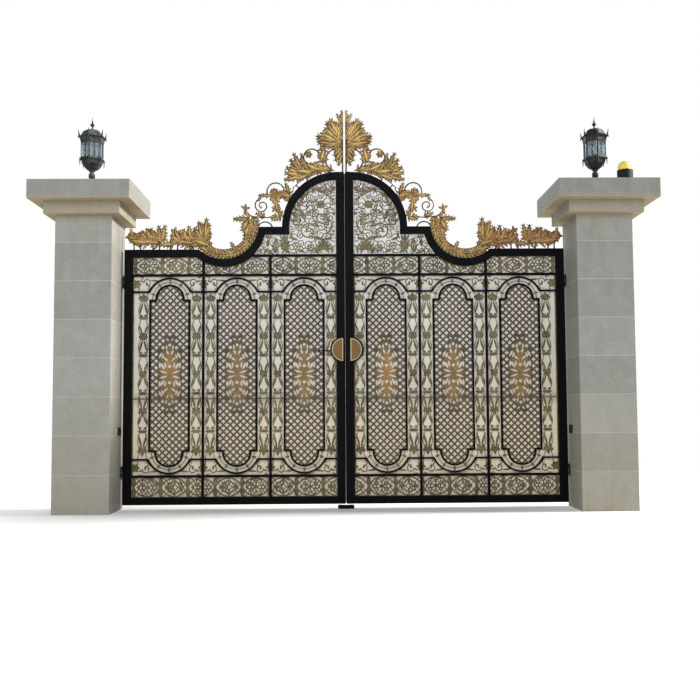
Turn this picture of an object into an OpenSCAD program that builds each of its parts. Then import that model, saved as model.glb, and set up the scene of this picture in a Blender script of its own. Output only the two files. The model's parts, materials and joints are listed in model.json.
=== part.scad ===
// Double-leaf wrought iron driveway gate on two stone-clad piers.
// Millimetres. X runs along the gate, the street is on the -Y side, Z is up.
// The origin is the centre of the left pier's foot.

/* [Opening and piers] */
// Clear opening between the two piers
opening_w = 3700; // [3400:10:4200]
// Side of the square pier shafts
pier_w = 450; // [400:10:560]
// Height of the pier shafts
pier_h = 2360; // [2200:5:2700]
// How far the neck stands out from the shaft
neck_out = 75; // [40:5:100]
// Height of the neck under the cap
neck_h = 100; // [60:5:160]
// How far the cap stands out from the shaft
cap_out = 175; // [120:5:220]
// Thickness of the cap slab
cap_h = 150; // [80:5:200]
// How far the middle of the leaves lies behind the middle of the piers
gate_y = 130; // [60:5:140]

/* [Leaf frames] */
// Gap between the two closed leaves
leaf_gap = 10; // [8:1:20]
// Gap between each leaf and its pier
pier_gap = 25; // [20:1:40]
// Width of the upright frame tubes
stile_w = 68; // [50:1:90]
// Height of the level frame tubes
rail_w = 60; // [40:1:80]
// Depth of the frame tubes
frame_d = 60; // [50:1:80]
// Gap under the leaves
ground_gap = 40; // [20:5:80]
// Height of the top of the rail beside the pier
top_rail_z = 2140; // [2120:5:2200]

/* [Swept head] */
// Height of the step where the head turns upright
step_z = 2329; // [2310:1:2360]
// Outer radius of the quarter circle at the middle of the gate
sweep_r = 462; // [430:1:490]
// Distance of the quarter circle's centre from the middle of the gate
sweep_u = 60; // [50:1:64]
// Radius of the dip beside the step
dip_r = 292; // [260:1:310]
// Distance of the dip's centre from the middle of the gate
dip_u = 1008; // [990:1:1040]
// Height of the dip's centre
dip_z = 2352; // [2345:1:2380]

/* [Thin bars and bays] */
// Width of the thin bars
bar_w = 20; // [14:1:26]
// Depth of the thin bars
bar_d = 20; // [12:1:26]
// Width of the bars that outline the lattice panels
outline_w = 14; // [10:1:18]
// Width left between the last bay and the hinge stile
last_gap = 29; // [20:1:40]
// Height of the middle of the lower full-width bar
low_bar_z = 270; // [240:5:290]
// Height of the middle of the upper full-width bar
high_bar_z = 1927; // [1900:1:1940]
// Height of the middle of the short bar under the swept head
head_bar_z = 2090; // [2080:1:2110]

/* [Lattice panels] */
// Width of a lattice panel
panel_w = 324; // [300:6:336]
// Height of the lower shoulders of the panels
panel_z0 = 477; // [460:1:500]
// Height of the upper shoulders of the panels
panel_z1 = 1718; // [1700:1:1730]
// Radius of the panels' round heads
panel_r = 112; // [90:1:120]
// Straight legs under the round heads
panel_leg = 13; // [5:1:20]
// Distance between the panel's shoulder and the shoulder of the bar beyond it
ring_step = 70; // [60:1:75]
// Half width of the outer arch where it leaves its shoulders
ring_half_w = 170; // [160:1:180]
// Rise of the outer arch over its shoulders
ring_rise = 113; // [100:1:120]
// Distance between the lattice strips of one direction, measured level
lattice_pitch = 55.6; // [48:0.2:60]
// Width of the lattice strips
strip_w = 14; // [8:1:16]
// Height of the middle of the lattice and its medallion
damask_z = 1105; // [1080:1:1120]
// Width of the damask medallion in the lattice
medallion_w = 216; // [180:2:230]
// Height of the damask medallion
medallion_h = 600; // [500:10:640]

/* [Ornament] */
// Width of the ornament in a side border
border_w = 84; // [70:2:92]
// Distance from one eye of a frieze to the next
frieze_pitch = 222; // [180:1:260]
// Distance of the friezes' first flower from the middle of the gate
frieze_start = 295; // [200:1:340]
// Width of the friezes' curved strips
frieze_strip = 9; // [6:0.5:12]
// Width of the edge strips that lie under the bars
edge_strip = 9; // [6:0.5:10]

/* [Plates and sheets] */
// Thickness of the pierced ornament plates
plate_t = 6; // [3:1:8]
// Thickness of the backing sheets
sheet_t = 3; // [2:0.5:4]
// Thickness of the cresting
crest_t = 12; // [8:1:16]
// Height of the joint between the lower and the upper backing sheet
seam_z = 900; // [800:10:1000]
// Height of the rail behind that joint
brace_h = 40; // [30:5:60]
// Clearance of a plate or sheet to the frame round it
sheet_fit = 0.3; // [0.2:0.1:0.6]

/* [Lock] */
// Height of the middle of the lock plate
lock_z = 1302; // [1000:5:1500]
// Radius of the two half plates of the lock
lock_r = 94; // [80:1:105]
// Width of the dark ring round them
lock_ring = 13; // [5:1:14]
// Length of the lever beside the lock
lever_l = 96; // [60:2:120]
// Width of the strip that covers the meeting of the leaves, both halves
cover_w = 60; // [50:1:80]
// How far that strip lies to the right of the meeting
cover_shift = 12; // [0:1:16]
// Thickness of the cover strip
cover_t = 6; // [4:1:10]

/* [Hinges] */
// Height of the lower hinge
low_hinge_z = 300; // [200:10:500]
// Height of the upper hinge
high_hinge_z = 1880; // [1700:10:1980]
// Diameter of the hinge pins
pin_d = 14; // [10:1:16]
// Running clearance between pin and knuckle, on the radius
pin_fit = 0.05; // [0.02:0.01:0.1]
// Outer diameter of the knuckles
knuckle_d = 26; // [24:1:28]
// Length of the knuckles
knuckle_h = 60; // [40:5:90]
// Thickness of the hinge strap
strap_t = 8; // [6:1:10]

/* [Lanterns and small fittings] */
// Height of a lantern, foot to finial
lantern_h = 615; // [560:5:680]
// Radius of the lantern's glazed part at its top
lantern_r = 100; // [80:1:120]
// Diameter of the flashing beacon
beacon_d = 126; // [100:2:150]
// Height of the photocells over the ground
photocell_z = 640; // [400:10:800]
// Width of the ground stop
stop_w = 134; // [100:2:160]
// Height of the ground stop
stop_h = 28; // [20:1:30]

/* [Hidden] */
$fn = 64;
// Steps in the edge of a leaf; 0 draws it with true arcs.
$leaf_steps = 0;

stone = "#c9c4b8";
black = "#1a1a1c";
gold = "#b8903f";
antique = "#8d7a5c";
cream = "#dcd6c4";
glass = "#cfd8d8";
amber = "#e8b81e";
steel = "#6e7073";

pier_pitch = opening_w + pier_w;
mid_x = pier_pitch / 2;
neck_top = pier_h + neck_h;
cap_top = neck_top + cap_h;

// Distances u on a leaf are measured from the middle of the gate towards the pier.
leaf_u0 = leaf_gap / 2;
leaf_u1 = opening_w / 2 - pier_gap;
field_u0 = leaf_u0 + stile_w;
field_u1 = leaf_u1 - stile_w;
field_z0 = ground_gap + rail_w;
field_z1 = top_rail_z - rail_w;
stile_top = step_z + sweep_r;
bay_start = field_u0 - bar_w / 2;
bays = 3;
bay_w = (field_u1 - last_gap - bay_start) / bays;
panel_mid_z = (panel_z0 + panel_z1) / 2;
level_u0 = dip_u + 160;
left_edge = cover_w / 2 - cover_shift;
right_edge = cover_w / 2 + cover_shift;
rosette_rim = 9;
back_y = frame_d / 2;
bar_back_y = 0;
plate_back_y = bar_back_y + plate_t;
sheet_back_y = plate_back_y + sheet_t;
joint = 0.5;

// The outer arch over a lattice panel, from its chord and its rise.
ring_r = (ring_half_w * ring_half_w + ring_rise * ring_rise) / (2 * ring_rise);
ring_z1 = panel_z1 + ring_step;
ring_z0 = panel_z0 - ring_step;

hinge_u = leaf_u1 - 3;
hinge_y = back_y + pin_d / 2 + 11;
lug_t = 10;
lug_gap = 1;
wall_plate_t = 6;

function bay_u(k) = bay_start + bay_w * (k - 0.5);

// Puts a piece of the right leaf, drawn from the middle of the gate, in its place.
module on_right_leaf() {
    translate([mid_x, gate_y, 0]) children();
}

// The same piece on the left leaf.
module on_left_leaf() {
    translate([mid_x, gate_y, 0]) mirror([1, 0, 0]) children();
}

// An outline drawn in u and z becomes an upright plate that ends at back_y.
module upright(back, thickness) {
    translate([0, back, 0]) rotate([90, 0, 0]) linear_extrude(thickness) children();
}

// Rectangle from corner to corner.
module rect(u0, z0, u1, z1) {
    translate([u0, z0]) square([u1 - u0, z1 - z0]);
}

module ring(r_in, r_out) {
    difference() {
        circle(r_out);
        circle(r_in);
    }
}

// The space inside the leaf's frame, smaller all round by inset.
module field(inset) {
    difference() {
        union() {
            rect(field_u0 + inset, field_z0 + inset, field_u1 - inset, field_z1 - inset);
            rect(field_u0 + inset, field_z1 - rail_w, dip_u, step_z - rail_w - inset);
            rect(field_u0 + inset, step_z - 2 * rail_w, sweep_u + sweep_r - rail_w - inset, step_z);
            intersection() {
                translate([sweep_u, step_z]) circle(sweep_r - rail_w - inset);
                rect(field_u0 + inset, step_z - rail_w, sweep_u + sweep_r, stile_top);
            }
        }
        translate([dip_u, dip_z]) circle(dip_r + rail_w + inset);
    }
}

// Everything below the top edge of the head, larger by margin.
module below_head(margin) {
    difference() {
        union() {
            rect(0, 0, leaf_u1 + margin, top_rail_z + margin);
            rect(0, 0, dip_u, step_z + margin);
            rect(0, 0, field_u0, stile_top + margin);
            intersection() {
                translate([sweep_u, step_z]) circle(sweep_r + margin);
                rect(0, step_z - rail_w, sweep_u + sweep_r + margin, stile_top + margin);
            }
        }
        translate([dip_u, dip_z]) circle(dip_r - margin);
    }
}

module piers_at(k) {
    translate([k * pier_pitch, 0, 0]) children();
}

module pier() {
    color(stone) translate([-pier_w / 2, -pier_w / 2, 0]) cube([pier_w, pier_w, pier_h]);
}

module pier_neck() {
    side = pier_w + 2 * neck_out;
    color(stone) translate([-side / 2, -side / 2, pier_h]) cube([side, side, neck_h]);
}

module pier_cap() {
    side = pier_w + 2 * cap_out;
    color(stone) translate([-side / 2, -side / 2, neck_top]) cube([side, side, cap_h]);
}

// Heights of the lantern's parts over the cap.
bowl_z = lantern_h * 0.265;
cage_z = lantern_h * 0.43;
valance_z = lantern_h * 0.65;
eave_z = lantern_h * 0.715;
dome_top_z = lantern_h * 0.83;
foot_r = lantern_r * 0.6;
stem_r = lantern_r * 0.14;
bulb_r = lantern_r * 0.26;
eave_r = lantern_r * 1.2;
cage_bar = 7;
muntin_w = 4;
pane_t = 3;

// A corner of the six-sided parts faces the street.
module on_cap() {
    translate([0, 0, cap_top]) rotate([0, 0, 30]) children();
}

// Six-sided stage between two heights.
module stage(z0, z1, r0, r1) {
    translate([0, 0, z0]) cylinder(r1 = r0, r2 = r1, h = z1 - z0, $fn = 6);
}

// Foot, baluster stem, rounded six-sided bowl and a drop under each corner of its rim.
module lantern_base() {
    rim_z = cage_z - 9;
    h = rim_z - bowl_z;
    color(black) on_cap() {
        rotate_extrude() polygon([
            [0, 0], [foot_r, 0], [foot_r, 9], [foot_r * 0.8, 15], [foot_r * 0.42, 24],
            [stem_r, 44], [stem_r, bowl_z * 0.5], [bulb_r, bowl_z * 0.68], [bulb_r, bowl_z * 0.84],
            [stem_r, bowl_z - 12], [stem_r * 1.7, bowl_z - 4], [stem_r * 1.7, bowl_z + 2], [0, bowl_z + 2]
        ]);
        stage(bowl_z, bowl_z + h * 0.22, lantern_r * 0.22, lantern_r * 0.56);
        stage(bowl_z + h * 0.22, bowl_z + h * 0.58, lantern_r * 0.56, lantern_r * 0.82);
        stage(bowl_z + h * 0.58, rim_z, lantern_r * 0.82, lantern_r * 0.93);
        stage(rim_z - 2, cage_z, lantern_r * 1.04, lantern_r * 1.04);
        for (turn = [0 : 60 : 300]) {
            rotate([0, 0, turn]) translate([lantern_r * 0.99, 0, rim_z - h * 0.62])
                cylinder(r1 = 1.5, r2 = 7, h = h * 0.62 + 4, $fn = 6);
        }
    }
}

module lantern_cage() {
    h = valance_z - cage_z;
    bar_r = lantern_r - cage_bar;
    muntin_r = bar_r * cos(30) - muntin_w;
    color(black) on_cap() translate([0, 0, cage_z]) {
        for (turn = [0 : 60 : 300]) {
            rotate([0, 0, turn]) translate([bar_r - cage_bar, -cage_bar / 2, 0])
                cube([cage_bar, cage_bar, h]);
            rotate([0, 0, turn + 30]) translate([muntin_r - 1, -muntin_w / 2, 1])
                cube([muntin_w, muntin_w, h - 2]);
        }
        for (z = [0, h - cage_bar]) {
            translate([0, 0, z]) difference() {
                cylinder(r = bar_r, h = cage_bar, $fn = 6);
                translate([0, 0, -1]) cylinder(r = bar_r - 1.4 * cage_bar, h = cage_bar + 2, $fn = 6);
            }
        }
    }
}

module lantern_glass() {
    h = valance_z - cage_z - 2 * cage_bar;
    pane_r = lantern_r - 2 * cage_bar - 3 * sheet_fit;
    color(glass) on_cap() translate([0, 0, cage_z + cage_bar]) difference() {
        cylinder(r = pane_r, h = h, $fn = 6);
        translate([0, 0, -1]) cylinder(r = pane_r - pane_t, h = h + 2, $fn = 6);
    }
}

// Valance, flared eave with upturned corners, dome and spike.
module lantern_roof() {
    dome = dome_top_z - eave_z - 7;
    tip = lantern_h - dome_top_z;
    color(black) on_cap() {
        stage(valance_z, eave_z, lantern_r * 0.97, lantern_r * 1.05);
        stage(eave_z, eave_z + 7, eave_r, lantern_r * 1.1);
        translate([0, 0, eave_z + 7]) {
            stage(0, dome * 0.2, lantern_r * 1.02, lantern_r * 0.9);
            stage(dome * 0.2, dome * 0.66, lantern_r * 0.9, lantern_r * 0.76);
            stage(dome * 0.66, dome * 0.9, lantern_r * 0.76, lantern_r * 0.5);
            stage(dome * 0.9, dome, lantern_r * 0.5, lantern_r * 0.2);
        }
        for (turn = [0 : 60 : 300]) {
            rotate([0, 0, turn]) translate([lantern_r * 1.06, 0, eave_z + 2]) rotate([0, 10, 0])
                cylinder(r1 = 9, r2 = 1.5, h = lantern_h * 0.09, $fn = 6);
            rotate([0, 0, turn]) translate([lantern_r * 1.12, 0, eave_z + 3]) rotate([0, 165, 0])
                cylinder(r1 = 7, r2 = 1, h = 20, $fn = 6);
        }
        translate([0, 0, dome_top_z]) rotate_extrude() polygon([
            [0, -4], [lantern_r * 0.12, -4], [lantern_r * 0.06, tip * 0.14], [lantern_r * 0.06, tip * 0.2],
            [lantern_r * 0.18, tip * 0.34], [lantern_r * 0.17, tip * 0.42], [lantern_r * 0.05, tip * 0.54],
            [lantern_r * 0.08, tip * 0.62], [lantern_r * 0.03, tip * 0.7], [1, tip], [0, tip]
        ]);
    }
}

beacon_x = 152;
beacon_y = -300;
beacon_base_h = 80;
beacon_dome_h = 76;

module at_beacon() {
    translate([beacon_x, beacon_y, cap_top]) children();
}

module beacon_base() {
    color(black) piers_at(1) at_beacon() {
        cylinder(d = beacon_d + 4, h = 12);
        translate([0, 0, 12]) cylinder(d = beacon_d - 2, h = beacon_base_h - 12);
    }
}

module beacon_dome() {
    r = beacon_d / 2 - 6;
    color(amber) piers_at(1) at_beacon() translate([0, 0, beacon_base_h]) {
        rotate_extrude() union() {
            square([r, beacon_dome_h - r]);
            translate([0, beacon_dome_h - r]) intersection() {
                circle(r);
                square(r);
            }
        }
    }
}

cell_w = 34;
cell_h = 66;
cell_out = 22;

// One sensor on the inner face of each pier, in front of the leaves.
module photocells() {
    y = gate_y - frame_d / 2 - 50;
    color(black) {
        translate([pier_w / 2, y - cell_w / 2, photocell_z - cell_h / 2])
            cube([cell_out, cell_w, cell_h]);
        translate([pier_pitch - pier_w / 2 - cell_out, y - cell_w / 2, photocell_z - cell_h / 2])
            cube([cell_out, cell_w, cell_h]);
    }
}

module ground_stop() {
    color(black) translate([mid_x - stop_w / 2, gate_y - frame_d / 2, 0])
        cube([stop_w, frame_d, stop_h]);
}

// Wall plate, two lugs and the pin of each hinge, on the pier.
module hinge_brackets() {
    wall_u = opening_w / 2;
    lug_z = knuckle_h / 2 + lug_gap;
    color(steel) for (z = [low_hinge_z, high_hinge_z]) {
        translate([wall_u - wall_plate_t, hinge_y - knuckle_d, z - lug_z - 2 * lug_t])
            cube([wall_plate_t, 2 * knuckle_d, 2 * lug_z + 4 * lug_t]);
        for (side = [-1, 1]) {
            translate([0, 0, z + side * (lug_z + lug_t / 2)]) {
                translate([hinge_u, hinge_y, 0])
                    cylinder(d = knuckle_d, h = lug_t, center = true);
                translate([hinge_u, hinge_y - knuckle_d / 2, -lug_t / 2])
                    cube([wall_u - wall_plate_t - hinge_u, knuckle_d, lug_t]);
            }
        }
        translate([hinge_u, hinge_y, z]) {
            cylinder(d = pin_d, h = 2 * (lug_z + lug_t), center = true);
            translate([0, 0, lug_z + lug_t]) cylinder(d = pin_d + 4, h = 5);
        }
    }
}

// Knuckle and strap of each hinge, on the back of the hinge stile.
module hinge_straps() {
    color(steel) for (z = [low_hinge_z, high_hinge_z]) {
        translate([0, 0, z]) difference() {
            union() {
                translate([hinge_u, hinge_y, 0])
                    cylinder(d = knuckle_d, h = knuckle_h, center = true);
                translate([leaf_u1 - stile_w, back_y, -knuckle_h / 2 + 5])
                    cube([hinge_u - leaf_u1 + stile_w, strap_t, knuckle_h - 10]);
                translate([hinge_u - knuckle_d / 2, back_y, -knuckle_h / 2 + 5])
                    cube([knuckle_d / 2, hinge_y - back_y, knuckle_h - 10]);
            }
            translate([hinge_u, hinge_y, 0])
                cylinder(d = pin_d + 2 * pin_fit, h = knuckle_h + 2, center = true);
        }
    }
}

module hinge_stile() {
    color(black) upright(back_y, frame_d) rect(field_u1, ground_gap, leaf_u1, top_rail_z);
}

// Its share of the cover strip, out to edge, and the dark ring round the lock belong to this stile.
module meeting_stile(edge) {
    color(black) {
        upright(back_y, frame_d) rect(leaf_u0, ground_gap, field_u0, stile_top);
        upright(-back_y, cover_t) {
            rect(leaf_u0, ground_gap, edge, stile_top);
            intersection() {
                translate([edge, lock_z]) circle(lock_r + lock_ring);
                rect(leaf_u0, 0, opening_w / 2, stile_top);
            }
        }
    }
}

// Half plate beside the cover strip, with a bevelled rim.
module lock_rosette(edge) {
    color(gold) {
        half_plate(edge, 0, 5);
        half_plate(edge, rosette_rim, 8);
    }
}

module half_plate(edge, inset, thickness) {
    upright(-back_y - cover_t, thickness) intersection() {
        translate([edge, lock_z]) circle(lock_r - inset);
        rect(edge + inset, 0, opening_w / 2, stile_top);
    }
}

// Lever of the lock, held by a boss on the dark ring of the left leaf.
module lock_lever() {
    u = left_edge + lock_r + lock_ring / 2;
    z = lock_z - 10;
    color(black) {
        upright(-back_y - cover_t, 14) translate([u, z]) circle(lock_ring / 2 - 0.5);
        upright(-back_y - cover_t - 6, 8) {
            rect(u, z - 5, u + lever_l, z + 5);
            translate([u + lever_l, z]) circle(9);
        }
    }
}

module bottom_rail() {
    color(black) upright(back_y, frame_d) rect(field_u0, ground_gap, field_u1, field_z0);
}

// Level rail, dip, step and quarter circle in one swept tube.
module head_outline() {
    translate([sweep_u, step_z]) intersection() {
        ring(sweep_r - rail_w, sweep_r);
        rect(field_u0 - sweep_u, 0, sweep_r, sweep_r);
    }
    difference() {
        union() {
            rect(sweep_u + sweep_r - rail_w, step_z - rail_w, dip_u, step_z);
            rect(dip_u, field_z1, field_u1, top_rail_z);
            intersection() {
                translate([dip_u, dip_z]) circle(dip_r + rail_w);
                union() {
                    rect(dip_u - dip_r - rail_w, 0, dip_u, step_z);
                    rect(dip_u, 0, dip_u + dip_r + rail_w, top_rail_z);
                }
            }
        }
        translate([dip_u, dip_z]) circle(dip_r);
    }
}

module head_rail() {
    color(black) upright(back_y, frame_d) head_outline();
}

module brace_rail() {
    color(black) translate([field_u0, sheet_back_y, seam_z - brace_h / 2])
        cube([field_u1 - field_u0, back_y - sheet_back_y, brace_h]);
}

// Outline of a lattice panel, larger all round by grow.
module panel_outline(grow) {
    w = panel_w / 2 + grow;
    rect(-w, panel_z0 - grow, w, panel_z1 + grow);
    rect(-panel_r - grow, panel_z0 - panel_leg, panel_r + grow, panel_z1 + panel_leg);
    translate([0, panel_z1 + panel_leg]) circle(panel_r + grow);
    translate([0, panel_z0 - panel_leg]) circle(panel_r + grow);
}

// Outline of the shouldered arches beyond it, which run out to the bars of the bay.
module ring_outline(grow) {
    rect(-bay_w / 2, ring_z0 - grow, bay_w / 2, ring_z1 + grow);
    translate([0, ring_z1 + ring_rise - ring_r]) circle(ring_r + grow);
    translate([0, ring_z0 - ring_rise + ring_r]) circle(ring_r + grow);
}

module bars_outline() {
    half = bar_w / 2;
    rect(field_u0, low_bar_z - half, field_u1, low_bar_z + half);
    rect(field_u0, high_bar_z - half, field_u1, high_bar_z + half);
    intersection() {
        field(0);
        union() {
            rect(field_u0, head_bar_z - half, dip_u, head_bar_z + half);
            for (k = [1 : bays - 1]) {
                u = bay_start + k * bay_w;
                rect(u - half, field_z0, u + half, k == 1 ? head_bar_z : step_z);
            }
        }
    }
    for (k = [1 : bays]) {
        translate([bay_u(k), 0]) difference() {
            panel_outline(outline_w / 2);
            panel_outline(-outline_w / 2);
        }
    }
    intersection() {
        rect(field_u0, low_bar_z, field_u1, high_bar_z);
        for (k = [1 : bays]) {
            translate([bay_u(k), 0]) difference() {
                ring_outline(outline_w / 2);
                ring_outline(-outline_w / 2);
            }
        }
    }
    rect(bay_u(bays) + bay_w / 2 - 1, ring_z1 - outline_w / 2, field_u1, ring_z1 + outline_w / 2);
    rect(bay_u(bays) + bay_w / 2 - 1, ring_z0 - outline_w / 2, field_u1, ring_z0 + outline_w / 2);
}

module bars() {
    color(black) upright(bar_back_y, bar_d) bars_outline();
}

// A pointed leaf from the origin along +X, bounded by two arcs, or by steps of them.
module leaf(length, width) {
    r = (length * length + width * width) / (4 * width);
    if ($leaf_steps == 0) {
        translate([length / 2, 0]) intersection() {
            translate([0, r - width / 2]) circle(r);
            translate([0, width / 2 - r]) circle(r);
        }
    } else {
        half = asin(length / 2 / r);
        edge = [for (i = [0 : $leaf_steps]) [
            length / 2 - r * sin(half - 2 * half * i / $leaf_steps),
            r * cos(half - 2 * half * i / $leaf_steps) - r + width / 2
        ]];
        polygon(concat(edge, [for (i = [$leaf_steps - 1 : -1 : 1]) [edge[i][0], -edge[i][1]]]));
    }
}

// The same leaf as a strip along its edge.
module leaf_ring(length, width, strip) {
    difference() {
        leaf(length, width);
        translate([strip * length / width, 0]) leaf(length * (1 - 2 * strip / width), width - 2 * strip);
    }
}

// Leaves that spread from one root, the middle one the longest.
module palmette(length, width, count, step) {
    for (i = [0 : count - 1]) {
        turn = (i - (count - 1) / 2) * step;
        rotate(turn) translate([-0.07 * length, 0]) leaf(length * (1.07 - abs(turn) / 300), width);
    }
}

module sector(r, from, sweep) {
    steps = ceil(abs(sweep) / 40);
    far = 1.1 * r / cos(sweep / steps / 2);
    polygon([
        [0, 0],
        for (i = [0 : steps]) far * [cos(from + i * sweep / steps), sin(from + i * sweep / steps)]
    ]);
}

// A curved strip of middle radius r.
module arc_strip(r, from, sweep, strip) {
    intersection() {
        ring(r - strip / 2, r + strip / 2);
        sector(r + strip / 2, from, sweep);
    }
}

// A scroll that winds in from radius r and grows tighter, with an eye. way is 1 or -1.
module scroll(r, from, way, strip) {
    turns = [for (a = [0 : 30 : 510]) a];
    middle = [for (a = turns) (r - r * 0.84 * a / 560) * [cos(from + way * a), sin(from + way * a)]];
    inner = [for (i = [0 : len(turns) - 1]) middle[i] * (1 - strip / 2 / norm(middle[i]))];
    outer = [for (i = [len(turns) - 1 : -1 : 0]) middle[i] * (1 + strip / 2 / norm(middle[i]))];
    polygon(concat(inner, outer));
    translate(middle[len(turns) - 1]) circle(strip * 0.9);
}

// A curved stem with pairs of leaves that point along it.
module leafy_arc(r, from, sweep, strip, pairs, length, width) {
    way = sign(sweep);
    arc_strip(r, from, sweep, strip);
    for (i = [0 : pairs - 1]) {
        a = from + sweep * (i + 0.3) / pairs;
        translate(r * [cos(a), sin(a)]) {
            rotate(a + way * 90 + 38) leaf(length, width);
            rotate(a + way * 90 - 38) leaf(length, width);
        }
    }
    rotate(from + sweep) translate([r, 0]) rotate(way * 90) leaf(length, width);
}

// A round flower with a ring of petals.
module flower(r, petals) {
    circle(r * 0.45);
    for (i = [0 : petals - 1]) rotate(i * 360 / petals) leaf(r, r * 0.62);
}

// Puts a leaf, scroll or flower of an ornament in its place.
module at(u, z, turn) {
    translate([u, z]) rotate(turn) children();
}

// Diamond openings between crossed strips, left out where the medallion lies.
module lattice_holes() {
    side = lattice_pitch / sqrt(2) - strip_w;
    columns = ceil(panel_w / lattice_pitch / 2);
    rows = ceil((panel_z1 - panel_z0 + 2 * panel_r) / lattice_pitch / 2) + 1;
    for (i = [-columns : columns]) {
        for (j = [-rows : rows]) {
            for (half = [0, 0.5]) {
                u = (i + half) * lattice_pitch;
                z = (j + half) * lattice_pitch;
                if (!in_medallion(abs(u), abs(z))) at(u, damask_z + z, 45) square(side, center = true);
            }
        }
    }
}

// True where a diamond opening at u, z from the medallion's middle would cut into it.
function in_medallion(u, z) =
    u < medallion_w * 0.48 && z < medallion_h * 0.34 || u < medallion_w * 0.24 && z < medallion_h * 0.51;

// Openings between the medallion's bulbs, buds and curved arms, drawn for one quarter.
module medallion_holes() {
    w = medallion_w / 2;
    h = medallion_h / 2;
    for (up = [0, 1]) translate([0, damask_z]) mirror([0, up]) {
        at(0, h * 0.225, 0) circle(w * 0.13);
        at(0, h * 0.81, 0) circle(w * 0.12);
        for (side = [0, 1]) mirror([side, 0]) {
            at(w * 0.13, h * 0.03, 18) leaf(w * 0.72, w * 0.16);
            at(w * 0.4, h * 0.13, 62) leaf(w * 0.62, w * 0.2);
            at(w * 0.74, h * 0.17, 84) leaf(w * 0.5, w * 0.17);
            at(w * 0.3, h * 0.17, 82) leaf(w * 0.5, w * 0.16);
            at(w * 0.12, h * 0.37, 40) leaf(w * 0.46, w * 0.17);
            at(w * 0.6, h * 0.42, 112) leaf(w * 0.46, w * 0.17);
            at(w * 0.83, h * 0.44, 118) leaf(w * 0.58, w * 0.18);
            at(w * 0.09, h * 0.54, 66) leaf(w * 0.42, w * 0.17);
            at(w * 0.22, h * 0.67, 84) leaf(w * 0.44, w * 0.14);
            at(w * 0.08, h * 0.93, 42) leaf(w * 0.3, w * 0.13);
        }
    }
}

module lattice(k) {
    color(antique) upright(plate_back_y, plate_t) translate([bay_u(k), 0]) difference() {
        panel_outline(-joint);
        lattice_holes();
        medallion_holes();
    }
}

// One length of a side border, from one bud up to the next.
module border_length(height) {
    half = border_w / 2;
    for (side = [0, 1]) mirror([side, 0]) {
        at(4, height - 22, -74) leaf(118, 18);
        at(half * 0.92, height - 206, 250) leaf(92, 16);
    }
    at(-half, height - 156, 0) leaf(2 * half, 26);
}

// A stack of buds joined by vases and collars, the same below its middle as above.
module border() {
    bud = border_w * 0.42;
    span = (panel_z1 - panel_z0) / 4 + 2;
    at(0, damask_z, 0) {
        flower(bud, 5);
        for (up = [0, 1]) mirror([0, up]) {
            border_length(span);
            at(0, span, 0) border_length(span);
            at(0, span - 18, 90) palmette(bud * 1.5, bud * 0.86, 3, 56);
            at(0, 2 * span - 16, 90) palmette(bud * 1.8, bud * 0.86, 3, 52);
        }
    }
}

// Seven buds on a thin arc between the two round heads of a panel.
module ring_band() {
    r = panel_r + (ring_r - panel_r) / 2 - 2;
    at(0, panel_z1 + panel_leg - 6, 0) {
        arc_strip(r, -6, 192, 5);
        for (a = [18 : 36 : 162]) {
            rotate(a) translate([r - 16, 0]) leaf(36, 20);
        }
    }
}

// A hooked scroll with a sprig in the corner beside an arch, and a half flower on the bar.
module spandrel() {
    mid = (ring_z1 + high_bar_z) / 2;
    at(-bay_w * 0.345, mid + 12, 0) {
        arc_strip(26, -100, 290, 8);
        at(-3, 6, -90) leaf(34, 16);
        at(0, -48, 0) arc_strip(24, 100, -150, 8);
        at(24, 20, -6) leaf(92, 15);
        at(-26, 4, 160) leaf(34, 14);
    }
    at(-bay_w / 2, mid - 2, 0) flower(40, 6);
}

module surround_ornament() {
    for (up = [0, 1]) translate([0, panel_mid_z]) mirror([0, up]) translate([0, -panel_mid_z]) {
        ring_band();
        for (side = [0, 1]) mirror([side, 0]) spandrel();
    }
    for (side = [-1, 1]) at(side * (bay_w + panel_w) / 4, 0, 0) border();
}

// Ornament between a lattice panel and the bars of its bay, with edge strips under the bars.
module surrounds() {
    color(gold) upright(plate_back_y, plate_t) for (k = [1 : bays]) {
        u0 = max(field_u0 + sheet_fit, bay_u(k) - bay_w / 2 + joint);
        u1 = k == bays ? field_u1 - sheet_fit : bay_u(k) + bay_w / 2 - joint;
        difference() {
            rect(u0, low_bar_z + joint, u1, high_bar_z - joint);
            difference() {
                rect(u0 + edge_strip, low_bar_z + edge_strip, u1 - edge_strip, high_bar_z - edge_strip);
                translate([bay_u(k), 0]) {
                    panel_outline(edge_strip);
                    surround_ornament();
                    difference() {
                        ring_outline(edge_strip / 2);
                        ring_outline(-edge_strip / 2);
                    }
                }
            }
            translate([bay_u(k), 0]) panel_outline(joint);
        }
    }
}

// One eye of a frieze with its flower or its nested diamond, centred on the origin.
module frieze_eye(half_h, flowered) {
    span = frieze_pitch;
    thin = frieze_strip * 0.75;
    at(-span / 2 - 6, 0, 0) leaf_ring(span + 12, 2 * half_h, frieze_strip);
    if (flowered) {
        circle(frieze_strip * 1.2);
        for (a = [58, 122, 238, 302]) rotate(a) leaf_ring(half_h, half_h * 0.56, thin);
        for (a = [0, 180]) rotate(a) leaf_ring(span * 0.4, half_h * 0.5, thin);
    } else {
        difference() {
            diamond(span * 0.37, half_h * 0.86);
            diamond(span * 0.37 - 2 * thin, half_h * 0.86 - 1.4 * thin);
        }
        difference() {
            diamond(span * 0.16, half_h * 0.4);
            diamond(span * 0.16 - 1.6 * thin, half_h * 0.4 - 1.4 * thin);
        }
        for (a = [0, 180]) rotate(a) at(span * 0.13, 0, 0) leaf(span * 0.22, half_h * 0.34);
        for (a = [90, 270]) rotate(a) at(half_h * 0.32, 0, 0) leaf(half_h * 0.5, half_h * 0.2);
    }
}

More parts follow.
